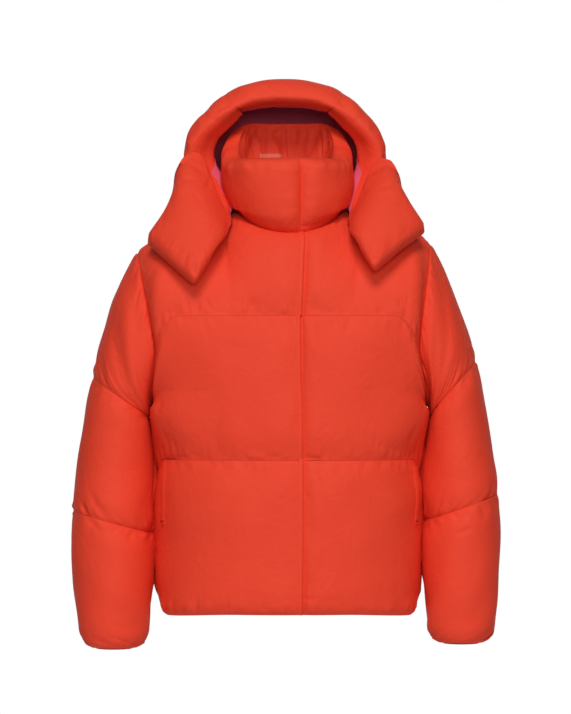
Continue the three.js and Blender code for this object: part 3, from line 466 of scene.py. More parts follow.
def blow(skins, pressure, frames=24, bending=0.02, slack=1.0, mass=0.02, tension=40, compression=40, damping=0.5, quality=5):
    """Lets the cut cloth settle over its down, held along its seams, as a cloth simulation.
    Each skin is (grid, cut, held points, which way out). Returns how far each point moved."""
    scene = bpy.context.scene
    made = []
    for k, (grid, cut, held, way) in enumerate(skins):
        ob = bpy.data.objects.new(f"blown_{k}", sheet_mesh(f"blown_{k}", grid))
        if way < 0:
            ob.data.flip_normals()
        scene.collection.objects.link(ob)
        ob.shape_key_add(name="as_sewn")
        key = ob.shape_key_add(name="as_cut")
        key.data.foreach_set("co", (cut * slack / 1000).ravel())
        held = held.copy()
        held[[0, -1]] = True
        held[:, [0, -1]] = True
        group = ob.vertex_groups.new(name="seams")
        group.add(np.flatnonzero(held.ravel()).tolist(), 1.0, "REPLACE")
        cloth = ob.modifiers.new("cloth", "CLOTH")
        facts = {
            "quality": quality,
            "mass": mass,
            "tension_stiffness": tension,
            "compression_stiffness": compression,
            "shear_stiffness": tension / 4,
            "bending_stiffness": bending,
            "tension_damping": damping,
            "compression_damping": damping,
            "shear_damping": damping,
            "bending_damping": 0.05,
            "air_damping": 1,
            "vertex_group_mass": "seams",
            "use_pressure": True,
            "uniform_pressure_force": pressure,
            "rest_shape_key": key,
        }
        for fact, value in facts.items():
            setattr(cloth.settings, fact, value)
        cloth.settings.effector_weights.gravity = 0
        cloth.collision_settings.use_collision = False
        cloth.point_cache.frame_start, cloth.point_cache.frame_end = 1, frames
        made.append(ob)
    for step in range(1, frames + 1):
        scene.frame_set(step)
    depsgraph = bpy.context.evaluated_depsgraph_get()
    moved = []
    for ob, (grid, *_) in zip(made, skins):
        settled = np.empty(grid.size, np.float32)
        ob.evaluated_get(depsgraph).data.vertices.foreach_get("co", settled)
        moved.append(settled.reshape(grid.shape).astype(float) * 1000 - grid)
        mesh = ob.data
        bpy.data.objects.remove(ob)
        bpy.data.meshes.remove(mesh)
    scene.frame_set(1)
    return moved


def capped(moved, lift, most_out, most_in):
    """Keeps the down's share of a move: out along the padding up to a cap, and little sideways."""
    out = (moved * lift).sum(-1, keepdims=True)
    side = moved - out * lift
    limit = np.where(out > 0, most_out, most_in)
    length = np.linalg.norm(side, axis=-1, keepdims=True) + 1e-9
    side = side * np.minimum(1, 4 / length)
    return lift * limit * np.tanh(out / limit) + side


def doubled(grid):
    """A grid with twice as many lines each way, on a smooth surface through its points."""
    for axis in (0, 1):
        g = np.moveaxis(grid, axis, 0)
        ends = np.concatenate([2 * g[:1] - g[1:2], g, 2 * g[-1:] - g[-2:-1]])
        between = (9 * (ends[1:-2] + ends[2:-1]) - ends[:-3] - ends[3:]) / 16
        out = np.empty((2 * len(g) - 1, *g.shape[1:]))
        out[::2], out[1::2] = g, between
        grid = np.moveaxis(out, 0, axis)
    return grid


def puckers(seed, away, along, depth, spacing, length):
    """Puckers that run into a stitched seam: away is the distance from it, along the place on it."""
    rng = np.random.default_rng(seed)
    total = np.zeros_like(away)
    place = rng.uniform(0, spacing)
    while place < along.max():
        wide = rng.uniform(0.22, 0.42) * spacing
        long = length * rng.uniform(0.45, 1.5)
        lean = rng.normal(0, 0.16)
        size = depth * rng.uniform(0.35, 1.2) * (1 if rng.random() < 0.4 else -1)
        t = away / long
        total += size * np.exp(-(((along - place - lean * away) / (wide * (1 + 0.5 * t))) ** 2)) * 2.2 * t * np.exp(-1.6 * t * t - 0.4 * t)
        place += spacing * rng.uniform(0.5, 1.6)
    return total


def creased(points, lift, lines):
    """Presses in creases drawn on the front view: each is (points as x and z, depth, width)."""
    normal = unit(np.cross(np.gradient(points, axis=1), np.gradient(points, axis=0)) + 1e-9)
    normal = normal * np.sign((normal * lift).sum())
    front = smooth(-normal[..., 1], 0.05, 0.35)
    for line, depth, width in lines:
        line = np.array(line, float)
        seen = points[..., ::2]
        near = np.full(points.shape[:2], np.inf)
        share = np.zeros(points.shape[:2])
        for k, (a, b) in enumerate(zip(line, line[1:])):
            t = np.clip(((seen - a) @ (b - a)) / ((b - a) @ (b - a)), 0, 1)
            gap = np.linalg.norm(seen - a - t[..., None] * (b - a), axis=-1)
            closer = gap < near
            near = np.where(closer, gap, near)
            share = np.where(closer, (k + t) / (len(line) - 1), share)
        fade = np.sin(math.pi * np.clip(share, 0.04, 0.96)) ** 0.5
        points = points - normal * (depth * fade * front * np.exp(-((near / width) ** 2)))[..., None]
    return points


def closed_mesh(name, outer, inner, uv, closed=False, crisp=(True, True, True, True)):
    """One closed piece from an outer skin and an inner skin, which may have half its lines.
    crisp tells which rims keep their edge: the first and last row, the first and last column."""
    rows, columns = outer.shape[:2]
    low_rows, low_columns = inner.shape[:2]
    step = (rows - 1) // (low_rows - 1)
    high = np.arange(rows * columns).reshape(rows, columns)
    low = rows * columns + np.arange(low_rows * low_columns).reshape(low_rows, low_columns)
    used = np.ones(rows * columns + low_rows * low_columns, bool)
    if closed:
        used[high[:, -1]] = used[low[:, -1]] = False
        high[:, -1], low[:, -1] = high[:, 0], low[:, 0]

    def cover(g):
        return np.stack([g[:-1, :-1], g[:-1, 1:], g[1:, 1:], g[1:, :-1]], -1).reshape(-1, 4)

    flat = [np.arange(rows * columns).reshape(rows, columns)]
    flat.append(rows * columns + np.arange(low_rows * low_columns).reshape(low_rows, low_columns))
    faces = cover(high).tolist() + cover(low)[:, ::-1].tolist()
    corners = cover(flat[0]).tolist() + cover(flat[1])[:, ::-1].tolist()
    rims = [(high[0], low[0], False), (high[-1], low[-1], True)]
    if not closed:
        rims += [(high[:, 0], low[:, 0], True), (high[:, -1], low[:, -1], False)]
    for fine, coarse, turned in rims:
        for i in range(len(coarse) - 1):
            over = [int(x) for x in fine[step * i : step * i + step + 1]]
            under = [int(x) for x in coarse[i : i + 2]]
            half = step // 2
            found = [[over[half], under[0], under[1]] + ([over[1]] if step == 1 else [])]
            found += [[over[a], under[a // max(half, 1)], over[a + 1]] for a in range(step) if step > 1]
            for face in found:
                faces.append(face[::-1] if turned else face)
                corners.append(faces[-1])
    renumber = np.cumsum(used) - 1
    points = np.vstack([outer.reshape(-1, 3), inner.reshape(-1, 3)])[used] / 1000
    mesh = bpy.data.meshes.new(name)
    mesh.from_pydata(points.tolist(), [], [[int(renumber[x]) for x in face] for face in faces])
    uvs = np.vstack([uv.reshape(-1, 2), uv[::step, ::step].reshape(-1, 2)])
    layer = mesh.uv_layers.new(name="cloth")
    layer.data.foreach_set("uv", uvs[[x for face in corners for x in face]].ravel())
    mesh.shade_smooth()
    ends = np.empty(2 * len(mesh.edges), np.int32)
    mesh.edges.foreach_get("vertices", ends)
    ends = ends.reshape(-1, 2)
    sharp = np.zeros(len(ends), bool)
    for k, lines in enumerate(((0, slice(None)), (-1, slice(None)), (slice(None), 0), (slice(None), -1))):
        if crisp[k] and not (closed and k > 1):
            for grid in (high, low):
                on_rim = np.zeros(len(mesh.vertices), bool)
                on_rim[renumber[grid[lines]]] = True
                sharp |= on_rim[ends].all(axis=1)
    mesh.attributes.new("sharp_edge", "BOOLEAN", "EDGE").data.foreach_set("value", sharp)
    return mesh


def piece(name, mesh, material, nodes):
    ob = bpy.data.objects.new(name, mesh)
    bpy.context.scene.collection.objects.link(ob)
    ob.data.materials.append(material)
    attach(ob, "root")
    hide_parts(*nodes)
    return ob


def linear(hex_colour):
    channels = [int(hex_colour[i : i + 2], 16) / 255 for i in (1, 3, 5)]
    turned = [c / 12.92 if c <= 0.04045 else ((c + 0.055) / 1.055) ** 2.4 for c in channels]
    return (*turned, 1.0)


def add(tree, kind, links=(), **settings):
    """Adds one node. A setting is an attribute, or "i_" and an input's name or number."""
    node = tree.nodes.new(kind)
    for key, value in settings.items():
        if key.startswith("i_"):
            which = key[2:]
            node.inputs[int(which) if which.isdigit() else which.replace("_", " ")].default_value = value
        else:
            setattr(node, key, value)
    for socket, source in links:
        tree.links.new(source, node.inputs[socket])
    return node


def nylon(name, lit, shaded, rough=0.66):
    """Down-proof nylon: a calendered plain weave, crumpled a little by the down behind it.
    The real weave has 0.2 mm threads; here they are drawn five times as wide so that they show."""
    material = bpy.data.materials.new(name)
    material.use_nodes = True
    tree = material.node_tree
    tree.nodes.clear()
    place = add(tree, "ShaderNodeTexCoord").outputs["Object"]
    patches = add(tree, "ShaderNodeTexNoise", [("Vector", place)], i_Scale=16, i_Detail=4, i_Roughness=0.6)
    tint = add(tree, "ShaderNodeMix", [("Factor", patches.outputs["Fac"])], data_type="RGBA")
    tint.inputs[6].default_value, tint.inputs[7].default_value = linear(shaded), linear(lit)
    cloth = add(tree, "ShaderNodeUVMap", uv_map="cloth").outputs["UV"]
    thread = {"wave_type": "BANDS", "i_Scale": 0.314 / THREAD_PITCH, "i_Distortion": 0.4}
    warp = add(tree, "ShaderNodeTexWave", [("Vector", cloth)], bands_direction="X", **thread)
    weft = add(tree, "ShaderNodeTexWave", [("Vector", cloth)], bands_direction="Y", **thread)
    weave = add(tree, "ShaderNodeMath", [(0, warp.outputs["Fac"]), (1, weft.outputs["Fac"])], operation="MULTIPLY")
    crumple = add(tree, "ShaderNodeTexNoise", [("Vector", place)], i_Scale=95, i_Detail=5, i_Roughness=0.55)
    ridges = add(tree, "ShaderNodeTexNoise", [("Vector", place)], i_Scale=42, i_Detail=2, i_Distortion=1.2)
    first = add(tree, "ShaderNodeBump", [("Height", ridges.outputs["Fac"])], i_Strength=0.35, i_Distance=0.0030)
    second = add(
        tree, "ShaderNodeBump", [("Height", crumple.outputs["Fac"]), ("Normal", first.outputs[0])], i_Strength=0.3, i_Distance=0.0016
    )
    third = add(tree, "ShaderNodeBump", [("Height", weave.outputs[0]), ("Normal", second.outputs[0])], i_Strength=0.25, i_Distance=0.0002)
    gloss = add(tree, "ShaderNodeMapRange", [("Value", crumple.outputs["Fac"])], i_To_Min=rough - 0.06, i_To_Max=rough + 0.06)
    links = [("Base Color", tint.outputs[2]), ("Roughness", gloss.outputs[0]), ("Normal", third.outputs[0])]
    shader = add(tree, "ShaderNodeBsdfPrincipled", links)
    shader.inputs["Specular IOR Level"].default_value = 0.16
    shader.inputs["Sheen Weight"].default_value = 0.08
    shader.inputs["Sheen Roughness"].default_value = 0.5
    shader.inputs["Sheen Tint"].default_value = linear(lit)
    shader.inputs["IOR"].default_value = 1.53
    add(tree, "ShaderNodeOutputMaterial", [("Surface", shader.outputs[0])])
    return material


THREAD_PITCH = 0.001
shell_nylon = nylon("shell nylon, calendered down-proof weave", "#f0482e", "#e8412a")

SEAM = {"wall": 14, "roll": 50, "soft": 1}
ARM_SEAM = {"wall": SEAM_WALL + 2, "roll": 40, "soft": 0.4}
HEM_EDGE = {"wall": 13, "roll": 18, "soft": 0.2, "free": True}
SIDE_BULGE = {RIGHT: 28, LEFT: 25}


def quilt_seam(both_ends=False):
    """A quilting seam is deepest across the front and shallower where it meets the side seam."""
    if both_ends:
        return {"wall": lambda u: mix(14, 20, smooth(np.abs(2 * u - 1), 0.86, 1)), "roll": 50, "soft": 1}
    return {"wall": lambda u: mix(14, 20, smooth(u, 0.78, 1)), "roll": 50, "soft": 1}


def side_seam(side, part):
    """At the side seam the two puffs press out towards the sleeve, but not at the waist or hem."""

    def wall(v):
        if part == "lower":
            return mix(mix(14, SIDE_BULGE[side], smooth(v, 0, 0.22)), 19, smooth(v, 0.85, 1))
        return mix(mix(19, SIDE_BULGE[side] - 3, smooth(v, 0, 0.1)), 9, smooth(v, 0.28, 0.5))

    return {"wall": wall, "roll": 40, "soft": 0.5}


def yoke_wall(half):
    return mix(6, 16, smooth(half, NECK_SHARE, NECK_SHARE + 0.1))


def body_front(side, label):
    offset = side * FLY_X
    flat = 0 if side == RIGHT else FLY_WIDTH + 1
    opening = {"wall": 19, "roll": 26, "soft": 1}
    if side == LEFT:
        opening = {"wall": 14.5, "roll": 20, "soft": 0.5, "flat": flat}
    panels = []

    def start(row):
        z = float(row(0))
        line = np.array([row_point(FRONT, side, z, t) for t in np.linspace(0, 1, 25)])
        return offset / steps_between(line, 0).sum()

    for name, low, high, under, over in (
        ("lower", front_hem_row, waist_row, HEM_EDGE, quilt_seam()),
        ("middle", waist_row, yoke_row, quilt_seam(), SEAM),
    ):
        patch = coons(
            row_edge(FRONT, side, low, start(low)),
            row_edge(FRONT, side, high, start(high)),
            centre_edge(FRONT, side, start(low), float(low(0)), float(high(0))),
            side_edge(FRONT, side, float(low(1)), float(high(1))),
            (1, 4),
        )
        edges = {"start": opening, "end": side_seam(side, name), "bottom": under, "top": over}
        panels.append(padded_panel(f"front_{label}_{name}", patch, BODY_CREST, edges))
    low = row_edge(FRONT, side, yoke_row, start(yoke_row))
    top = yoke_top(FRONT, side)
    ends = np.array([0.0, 1.0])
    (low_point, low_lift), (top_point, top_lift) = ((edge(ends)[0][0], edge(ends)[1][0]) for edge in (low, top))
    centre = through([low_point, (FLY_X, -102, -95), top_point])

    def opened(t):
        return centre(t), unit(mix(low_lift, top_lift, np.asarray(t)[:, None]))

    arm = side_edge(FRONT, side, YOKE_SEAM[1], ARMHOLE[side][1])
    patch = rounded(coons(low, top, opened, arm, (1, 4)), lambda u: smooth(u, 0, 0.4) * (1 - smooth(u, 0.8, 1)))
    edges = {"start": opening, "end": ARM_SEAM, "bottom": SEAM, "top": {"wall": yoke_wall, "roll": 34}}
    panels.append(padded_panel(f"front_{label}_yoke", patch, BODY_CREST, edges))
    return panels


def body_back():
    def across(edge_of):
        right, left = edge_of(RIGHT), edge_of(LEFT)

        def at(t):
            t = np.asarray(t)
            a, b = right(np.clip(1 - 2 * t, 0, 1)), left(np.clip(2 * t - 1, 0, 1))
            first = (t < 0.5)[:, None]
            return np.where(first, a[0], b[0]), np.where(first, a[1], b[1])

        return at

    panels = []
    for name, low, high, under, over in (
        ("lower", hem_row, waist_row, HEM_EDGE, quilt_seam(True)),
        ("middle", waist_row, yoke_row, quilt_seam(True), SEAM),
    ):
        patch = coons(
            across(lambda side: row_edge(BACK, side, low, 0)),
            across(lambda side: row_edge(BACK, side, high, 0)),
            side_edge(BACK, RIGHT, float(low(1)), float(high(1))),
            side_edge(BACK, LEFT, float(low(1)), float(high(1))),
            (6, 6),
        )
        edges = {"start": side_seam(RIGHT, name), "end": side_seam(LEFT, name), "bottom": under, "top": over}
        panels.append(padded_panel(f"back_{name}", patch, BODY_CREST, edges))
    patch = coons(
        across(lambda side: row_edge(BACK, side, yoke_row, 0)),
        across(lambda side: yoke_top(BACK, side)),
        side_edge(BACK, RIGHT, YOKE_SEAM[1], ARMHOLE[RIGHT][1]),
        side_edge(BACK, LEFT, YOKE_SEAM[1], ARMHOLE[LEFT][1]),
        (6, 6),
    )
    round_back = rounded(patch, lambda u: (1 - smooth(1 - u, 0.8, 1)) * (1 - smooth(u, 0.8, 1)))
    top = {"wall": lambda u: yoke_wall(np.abs(2 * u - 1)), "roll": 34}
    edges = {"start": ARM_SEAM, "end": ARM_SEAM, "bottom": SEAM, "top": top}
    panels.append(padded_panel("back_yoke", round_back, BODY_CREST, edges))
    return panels


def sewn(panels, pressure, most_out=5, most_in=6, fill=0.8, both=False, gather=None, creases=None, **settings):
    """Blows up a group of panels and makes each a padded piece, gathered along its seams.
    gather gives a seam's pucker depth, spacing and length; creases are the few that a panel has."""
    for panel in panels:
        panel["seed"] = sum(ord(c) * (n + 1) for n, c in enumerate(panel["name"]))
        free = smooth(np.minimum.reduce(list(panel["reach"].values())), 0, 40)
        uneven = lumps(panel["seed"], panel["across"], panel["upwards"], LUMP) * free
        panel["outer"] = panel["outer"] + panel["lift"] * uneven[..., None]
    skins = [(p["outer"], p["cut"], p["held"], 1) for p in panels]
    skins += [(p["inner"], p["inner_cut"], p["held"], -1) for p in panels if both]
    moves = blow(skins, pressure, **settings)
    for k, panel in enumerate(panels):
        name = panel["name"]
        lift = unit(doubled(panel["lift"]))
        along = {"bottom": "across", "top": "across", "start": "upwards", "end": "upwards"}
        outer = doubled(panel["outer"] + capped(moves[k], panel["lift"], most_out, most_in))
        folds = np.zeros(outer.shape[:2])
        for n, (edge, away) in enumerate(panel["reach"].items()):
            facts = (gather or {}).get(edge)
            if facts:
                folds += puckers(panel["seed"] + n, doubled(away), doubled(panel[along[edge]]), *facts)
        nearest = doubled(np.minimum.reduce([r for r in panel["reach"].values()]))
        outer = outer + lift * (folds * smooth(nearest, 0, 6))[..., None]
        panel["outer"] = let_out(creased(outer, lift, (creases or {}).get(name, [])))
        panel["inner"] = let_out(panel["inner"])
        if both:
            blown = panel["inner"] + capped(moves[len(panels) + k], -panel["lift"], most_out, most_in)
            blown = doubled(blown) - lift * (folds * smooth(nearest, 0, 6))[..., None]
            panel["inner"] = creased(blown, -lift, (creases or {}).get(name + "_inside", []))
        inner = panel["inner"] if both else panel["inner"][::2, ::2]
        uv = doubled(np.stack([panel["across"], panel["upwards"]], -1)) / 1000
        mesh = closed_mesh(name, panel["outer"], inner, uv, panel["closed"], panel["crisp"])
        piece(name + "_puff", mesh, shell_nylon, [name])
        panel["fine_lift"] = lift


def on_cloth(panel, u, v, skin="outer"):
    """Points and padding directions on a blown panel at shares across and up it."""
    rows, columns = panel[skin].shape[:2]
    us, vs = (np.linspace(line[0], line[-1], n) for line, n in ((panel["u"], columns), (panel["v"], rows)))
    order = np.argsort(us)
    i = np.interp(u, us[order], np.arange(columns)[order])
    j = np.interp(v, vs, np.arange(rows))
    i0, j0 = np.minimum(i.astype(int), columns - 2), np.minimum(j.astype(int), rows - 2)
    fi, fj = (i - i0)[None, :, None], (j - j0)[:, None, None]
    found = []
    for g in (panel[skin], panel["fine_lift"]):
        low = mix(g[np.ix_(j0, i0)], g[np.ix_(j0, i0 + 1)], fi)
        high = mix(g[np.ix_(j0 + 1, i0)], g[np.ix_(j0 + 1, i0 + 1)], fi)
        found.append(mix(low, high, fj))
    return found[0], unit(found[1])


def thin_piece(name, point, lift, offset, wall, material, nodes, closed=False):
    """A thin even wall that lies at an offset from given points."""
    across = np.cumsum(np.pad(steps_between(point, 1), ((0, 0), (1, 0))), axis=1)
    upwards = np.cumsum(np.pad(steps_between(point, 0), ((1, 0), (0, 0))), axis=0)
    layers = [point + lift * (offset + wall), point + lift * offset]
    facing = np.cross(np.diff(point, axis=1)[:-1], np.diff(point, axis=0)[:, :-1])
    if (facing * lift[:-1, :-1]).sum() < 0:
        layers = [layer[:, ::-1] for layer in layers]
    mesh = closed_mesh(name, *layers, np.stack([across, upwards], -1) / 1000, closed)
    return piece(name, mesh, material, nodes)


def cut_size(point):
    """Middle width and length of a grid of cloth, in metres."""
    rows, columns = point.shape[:2]
    wide = steps_between(point[rows // 2], 0).sum()
    return float(wide) / 1000, float(steps_between(point[:, columns // 2], 0).sum()) / 1000


def cloth_area(point):
    a = np.cross(point[1:, 1:] - point[:-1, :-1], point[1:, :-1] - point[:-1, 1:])
    return float(np.linalg.norm(a, axis=-1).sum()) / 2e6


fronts = {side: body_front(side, label) for side, label in SIDES}
back = body_back()
body_gather = {"bottom": (2.6, 13, 17), "top": (2.2, 14, 15), "end": (2.2, 15, 18), "start": (0.6, 16, 10)}
# the creases that show most, as points along each (x, z), depth and width
BODY_CREASES = {
    "front_right_yoke": [
        ([(-159, -130), (-154, -153)], 1.6, 3),
        ([(-141, -139), (-138, -153)], 1.3, 2.5),
        ([(-129, -131), (-119, -152)], 1.6, 3),
        ([(-92, -138), (-91, -150)], 1.0, 2.5),
        ([(-186, -146), (-184, -168)], 1.6, 3),
        ([(-75, -98), (-60, -152)], 1.2, 9),
    ],
    "front_left_yoke": [
        ([(167, -130), (167, -146)], 1.4, 2.5),
        ([(172, -128), (173, -148)], 1.4, 2.5),
        ([(180, -126), (176, -157)], 1.8, 3),
    ],
    "front_right_middle": [
        ([(-184, -335), (-184, -366)], 1.5, 4),
        ([(-175, -342), (-174, -370)], 1.2, 3.5),
        ([(-160, -373), (-186, -376), (-203, -386)], 2.0, 4),
    ],
    "front_left_middle": [([(18, -373), (48, -375)], 2.2, 4), ([(180, -326), (179, -360)], 1.5, 4)],
    "front_left_lower": [([(19, -586), (40, -587)], 1.8, 3.5), ([(158, -378), (186, -404), (200, -436)], 1.8, 5)],
    "front_right_lower": [([(-196, -420), (-201, -470)], 1.5, 5), ([(-186, -415), (-192, -452)], 1.0, 5)],
}
PUFFING = {"pressure": 3, "slack": 1.03, "damping": 2, "tension": 20, "compression": 10, "bending": 0.005}
sewn([*fronts[RIGHT], *fronts[LEFT], *back], gather=body_gather, creases=BODY_CREASES, **PUFFING)


# Fly: a folded strip of the same nylon that covers the zip, sewn on along the left front's edge
# from the collar to the hem.
FLY_WALL, FLY_TUCK = 4.2, 1.6
fly_us = np.linspace(0, 1, 9) * FLY_WIDTH / 250
fly_parts = [on_cloth(p, fly_us, np.linspace(0, 1, 61)) for p in fronts[LEFT]]
fly_point, fly_lift = (np.vstack([part[k] for part in fly_parts]) for k in (0, 1))
fly_point[:, 0] += (-FLY_TUCK, 1.2, 0)
fly_wall = FLY_WALL * np.array([1, 1.02, 1.04, 1.05, 1.05, 1.03, 0.97, 0.84, 0.5])[None, :, None]
fly = thin_piece("fly_strip", fly_point, fly_lift, 0.3, fly_wall, shell_nylon, ["fly"])


# Sleeves. Each is three tubes of padded nylon sewn ring to ring, with one seam down the side
# next to the body, and the down pressed thin where the sleeve turns down beside the body.
SLEEVE_CREST = 22
# place along the sleeve, outer point's x and z, inner point's x and z, half depth front, back, middle's y
SLEEVES = {
    RIGHT: [
        (0, -234, -68, -189, -285, 76, 82, 0),
        (0.5, -267, -156, -207, -291, 70, 74, -2),
        (1, -290, -262, -225, -306, 61, 63, -5),
        (1.5, -304, -370, -236, -388, 53, 53, -9),
        (2, -316, -462, -230, -486, 56, 56, -13),
        (2.5, -313, -570, -236, -576, 50, 50, -18),
        (3, -301, -668, -242, -668, 33, 33, -22),
    ],
    LEFT: [
        (0, 216, -55, 185, -285, 76, 82, 0),
        (0.5, 248, -144, 202, -290, 70, 74, -2),
        (1, 275, -240, 218, -302, 61, 63, -5),
        (1.5, 288, -345, 229, -362, 53, 53, -9),
        (2, 302, -438, 223, -466, 56, 56, -13),
        (2.5, 301, -556, 229, -562, 50, 50, -18),
        (3, 293, -660, 235, -660, 33, 33, -22),
    ],
}


def ring_seam(outside, curve):
    """A ring seam is drawn in deep beside the body and hardly at all on the sleeve's outer side."""

    def wall(u):
        return mix(12, outside, smooth(-np.cos(2 * math.pi * u), -0.3, 0.8))

    return {"wall": wall, "roll": curve, "soft": 0.4}


SLEEVE_EDGES = {
    "upper": {"bottom": {"wall": SEAM_WALL, "roll": 60}, "top": ring_seam(17, 34)},
    "middle": {"bottom": ring_seam(17, 40), "top": ring_seam(19.3, 34)},
    "lower": {"bottom": ring_seam(19.3, 40), "top": {"wall": 5, "roll": 30, "free": True}},
}


def sleeve_ring(side, at, angle):
    """One ring of the sleeve's inside; angle 0 is its outer side."""
    out_x, out_z, in_x, in_z, deep, deep_back, y = (read(SLEEVES[side], k, at) for k in range(1, 8))
    outer, inner = np.array([out_x, y, out_z]), np.array([in_x, y, in_z])
    up = (outer - inner) / 2
    c, s = np.cos(angle)[:, None], np.sin(angle)[:, None]
    reach = np.where(s > 0, deep, deep_back) * np.array([0, -1, 0])
    point = (outer + inner) / 2 + up * c + reach * s
    toward = up * c / (up @ up) + np.array([0, -1, 0]) * s / np.where(s > 0, deep, deep_back)
    return point, unit(toward)


def sleeve_part(side, label, index, part):
    def patch(u, v):
        rings = [sleeve_ring(side, index + t, math.pi + u * 2 * math.pi) for t in v]
        return np.array([ring[0] for ring in rings]), np.array([ring[1] for ring in rings])

    def pressed(u, v):
        under = smooth(-np.cos(math.pi + u * 2 * math.pi), 0.2, 1)[None] * (1 - smooth(v, 0.3, 1))[:, None]
        return mix(1, 0.35, under)

    def reaching(u, v):
        """The puff's inner side presses behind the body's edge, most beside the waist seam."""
        turn = math.pi + u * 2 * math.pi
        inwards = smooth(-np.cos(turn), 0.5, 1) * smooth(-np.sin(turn), -0.15, 0.3)
        if index == 1:
            waist = np.exp(-(((v - (0.6 if side == RIGHT else 0.68)) / 0.2) ** 2))
            more = 0.2 + 0.55 * waist + 0.5 * smooth(v, 0.84, 1)
        else:
            more = 0.25 * (1 - smooth(v, 0.4, 0.6)) + 0.45 * (1 - smooth(v, 0, 0.2))
        return 1 + more[:, None] * inwards[None]

    front_line = patch(np.array([0.75]), np.linspace(0, 1, 25))[0]
    return padded_panel(
        f"sleeve_{label}_{part}",
        patch,
        SLEEVE_CREST,
        SLEEVE_EDGES[part],
        closed=True,
        squeeze=pressed if index == 0 else reaching,
        tall=float(steps_between(front_line, 0).sum()),
    )


sleeves = [
    sleeve_part(side, label, index, part) for side, label in SIDES for index, part in enumerate(SLEEVE_EDGES)
]
SLEEVE_CREASES = {
    "sleeve_right_middle": [
        ([(-308, -424), (-298, -445), (-286, -458)], 2.4, 5),
        ([(-318, -447), (-307, -471)], 2.0, 4),
    ],
    "sleeve_right_lower": [([(-306, -470), (-292, -486)], 2.0, 4)],
    "sleeve_left_middle": [([(291, -452), (305, -436), (318, -424)], 2.4, 5), ([(206, -303), (228, -294)], 2.0, 4)],
    "sleeve_left_lower": [([(254, -491), (278, -482)], 2.0, 4)],
}
sleeve_gather = {"bottom": (3.2, 13, 15), "top": (3.6, 13, 14)}
sewn(sleeves, gather=sleeve_gather, creases=SLEEVE_CREASES, **PUFFING)


# Cuffs: the sleeve's end turned in and gathered on narrow elastic, just inside the last puff. Its nylon is the
# shell's, coloured darker as painted shade for the shadow inside the sleeve's end.
CUFF_HIGH, CUFF_WALL, CUFF_GAP = 12, 2.5, 0.4
# painted shade: both colours of the cuff's nylon are darker than the shell's, standing in for the shade inside the
# sleeve
cuff_nylon_painted_shade = nylon("shell nylon gathered on elastic", "#c93a2a", "#b83425")
for side, label in SIDES:
    turns = np.linspace(0, 2 * math.pi, 145)
    gathers = 0.7 * np.sin(27 * turns) + 0.4 * np.sin(44 * turns + 1)
    ring, outwards = sleeve_ring(side, 3, turns)
    rise = np.linspace(CUFF_HIGH, -2, 7)
    points = ring[None] + np.array([0, 0, 1.0]) * rise[:, None, None]
    lifts = np.broadcast_to(outwards, points.shape)
    sunk = -CUFF_GAP - CUFF_WALL - 1.1 + gathers[None, :, None]
    cuff = thin_piece(f"cuff_{label}_band", points + lifts * sunk, lifts, 0, 1.6, cuff_nylon_painted_shade, [f"cuff_{label}"], True)
    wide, long = cut_size(points + lifts * sunk)


# Collar: a high padded funnel in two halves, sewn to the neckline, meeting at the front opening
# and at the middle of the back. Its inside shows, so both faces are blown.
COLLAR_CREST = 30
RIM_X, RIM_WIDE, RIM_DEEP, RIM_FRONT, RIM_BACK = -6, 73, 78, 85, 146
SQUARE_RIM = 2 / 2.4


def collar_wall(u, v, first, last):
    angle = mix(first, last, u)
    base, base_lift = neckline(angle)
    s, c = (np.sign(x) * np.abs(x) ** SQUARE_RIM for x in (np.sin(angle), np.cos(angle)))
    high = mix(RIM_FRONT, RIM_BACK, smooth(np.sin(angle), -0.5, 0.8))
    rim = np.stack([RIM_X + RIM_WIDE * c, RIM_DEEP * s, high], -1)
    level = unit(np.stack([c / RIM_WIDE, s / RIM_DEEP, np.zeros_like(c)], -1))
    up = v[:, None, None]
    return mix(base[None], rim[None], up), unit(mix(base_lift[None], level[None], smooth(up, 0, 0.25)))


collars = {}
for side, label in SIDES:
    first = neck_span(FRONT, side)[0]
    last = math.acos(0) - (2 * math.pi if side == RIGHT else 0)
    collars[side] = padded_panel(
        f"collar_{label}",
        lambda u, v, first=first, last=last: collar_wall(u, v, first, last),
        COLLAR_CREST,
        {
            "start": {"wall": 18, "roll": 18, "soft": 0.6},
            "end": {"wall": 24, "roll": 24, "soft": 1},
            "bottom": {"wall": 6, "roll": 58},
            "top": {"wall": 7, "roll": 20, "free": True},
        },
    )
for panel in collars.values():
    tucks = puckers(7, panel["reach"]["bottom"], panel["across"], 9, 34, 75) + puckers(9, panel["reach"]["top"], panel["across"], 5, 24, 30)
    panel["inner"] = panel["inner"] - panel["lift"] * (tucks * smooth(panel["reach"]["top"], 0, 12))[..., None]
collar_gather = {"bottom": (3.4, 12, 20), "top": (3.0, 20, 22), "start": (1.2, 16, 14)}
COLLAR_CREASES = {
    "collar_right": [([(-103, 91), (-88, 89)], 1.8, 3), ([(-91, 148), (-82, 128)], 1.8, 4)],
    "collar_left": [([(68, 148), (60, 126)], 1.8, 4), ([(14, -22), (42, -18), (70, -6)], 2.2, 3)],
    "collar_right_inside": [
        ([(-52, 140), (-62, 84)], 4.5, 7),
        ([(-31, 146), (-35, 90)], 3.0, 6),
        ([(-8, 142), (-11, 84)], 3.5, 5),
    ],
    "collar_left_inside": [
        ([(8, 142), (6, 84)], 3.0, 5),
        ([(46, 140), (30, 104), (20, 84)], 4.0, 6),
        ([(58, 132), (50, 84)], 3.5, 6),
    ],
}
sewn(list(collars.values()), both=True, most_out=4, gather=collar_gather, creases=COLLAR_CREASES, **PUFFING)


# Label: a plain woven tab sewn inside the back of the collar.
LABEL_FROM_X, LABEL_TO_X = -40, -6
label_cloth = nylon("woven label tape", "#ee7a68", "#e56e5c")


def share_at(x):
    first = neck_span(FRONT, RIGHT)[0]
    last = math.acos(0) - 2 * math.pi
    return (math.acos(x / NECK_WIDE) - 2 * math.pi - first) / (last - first)


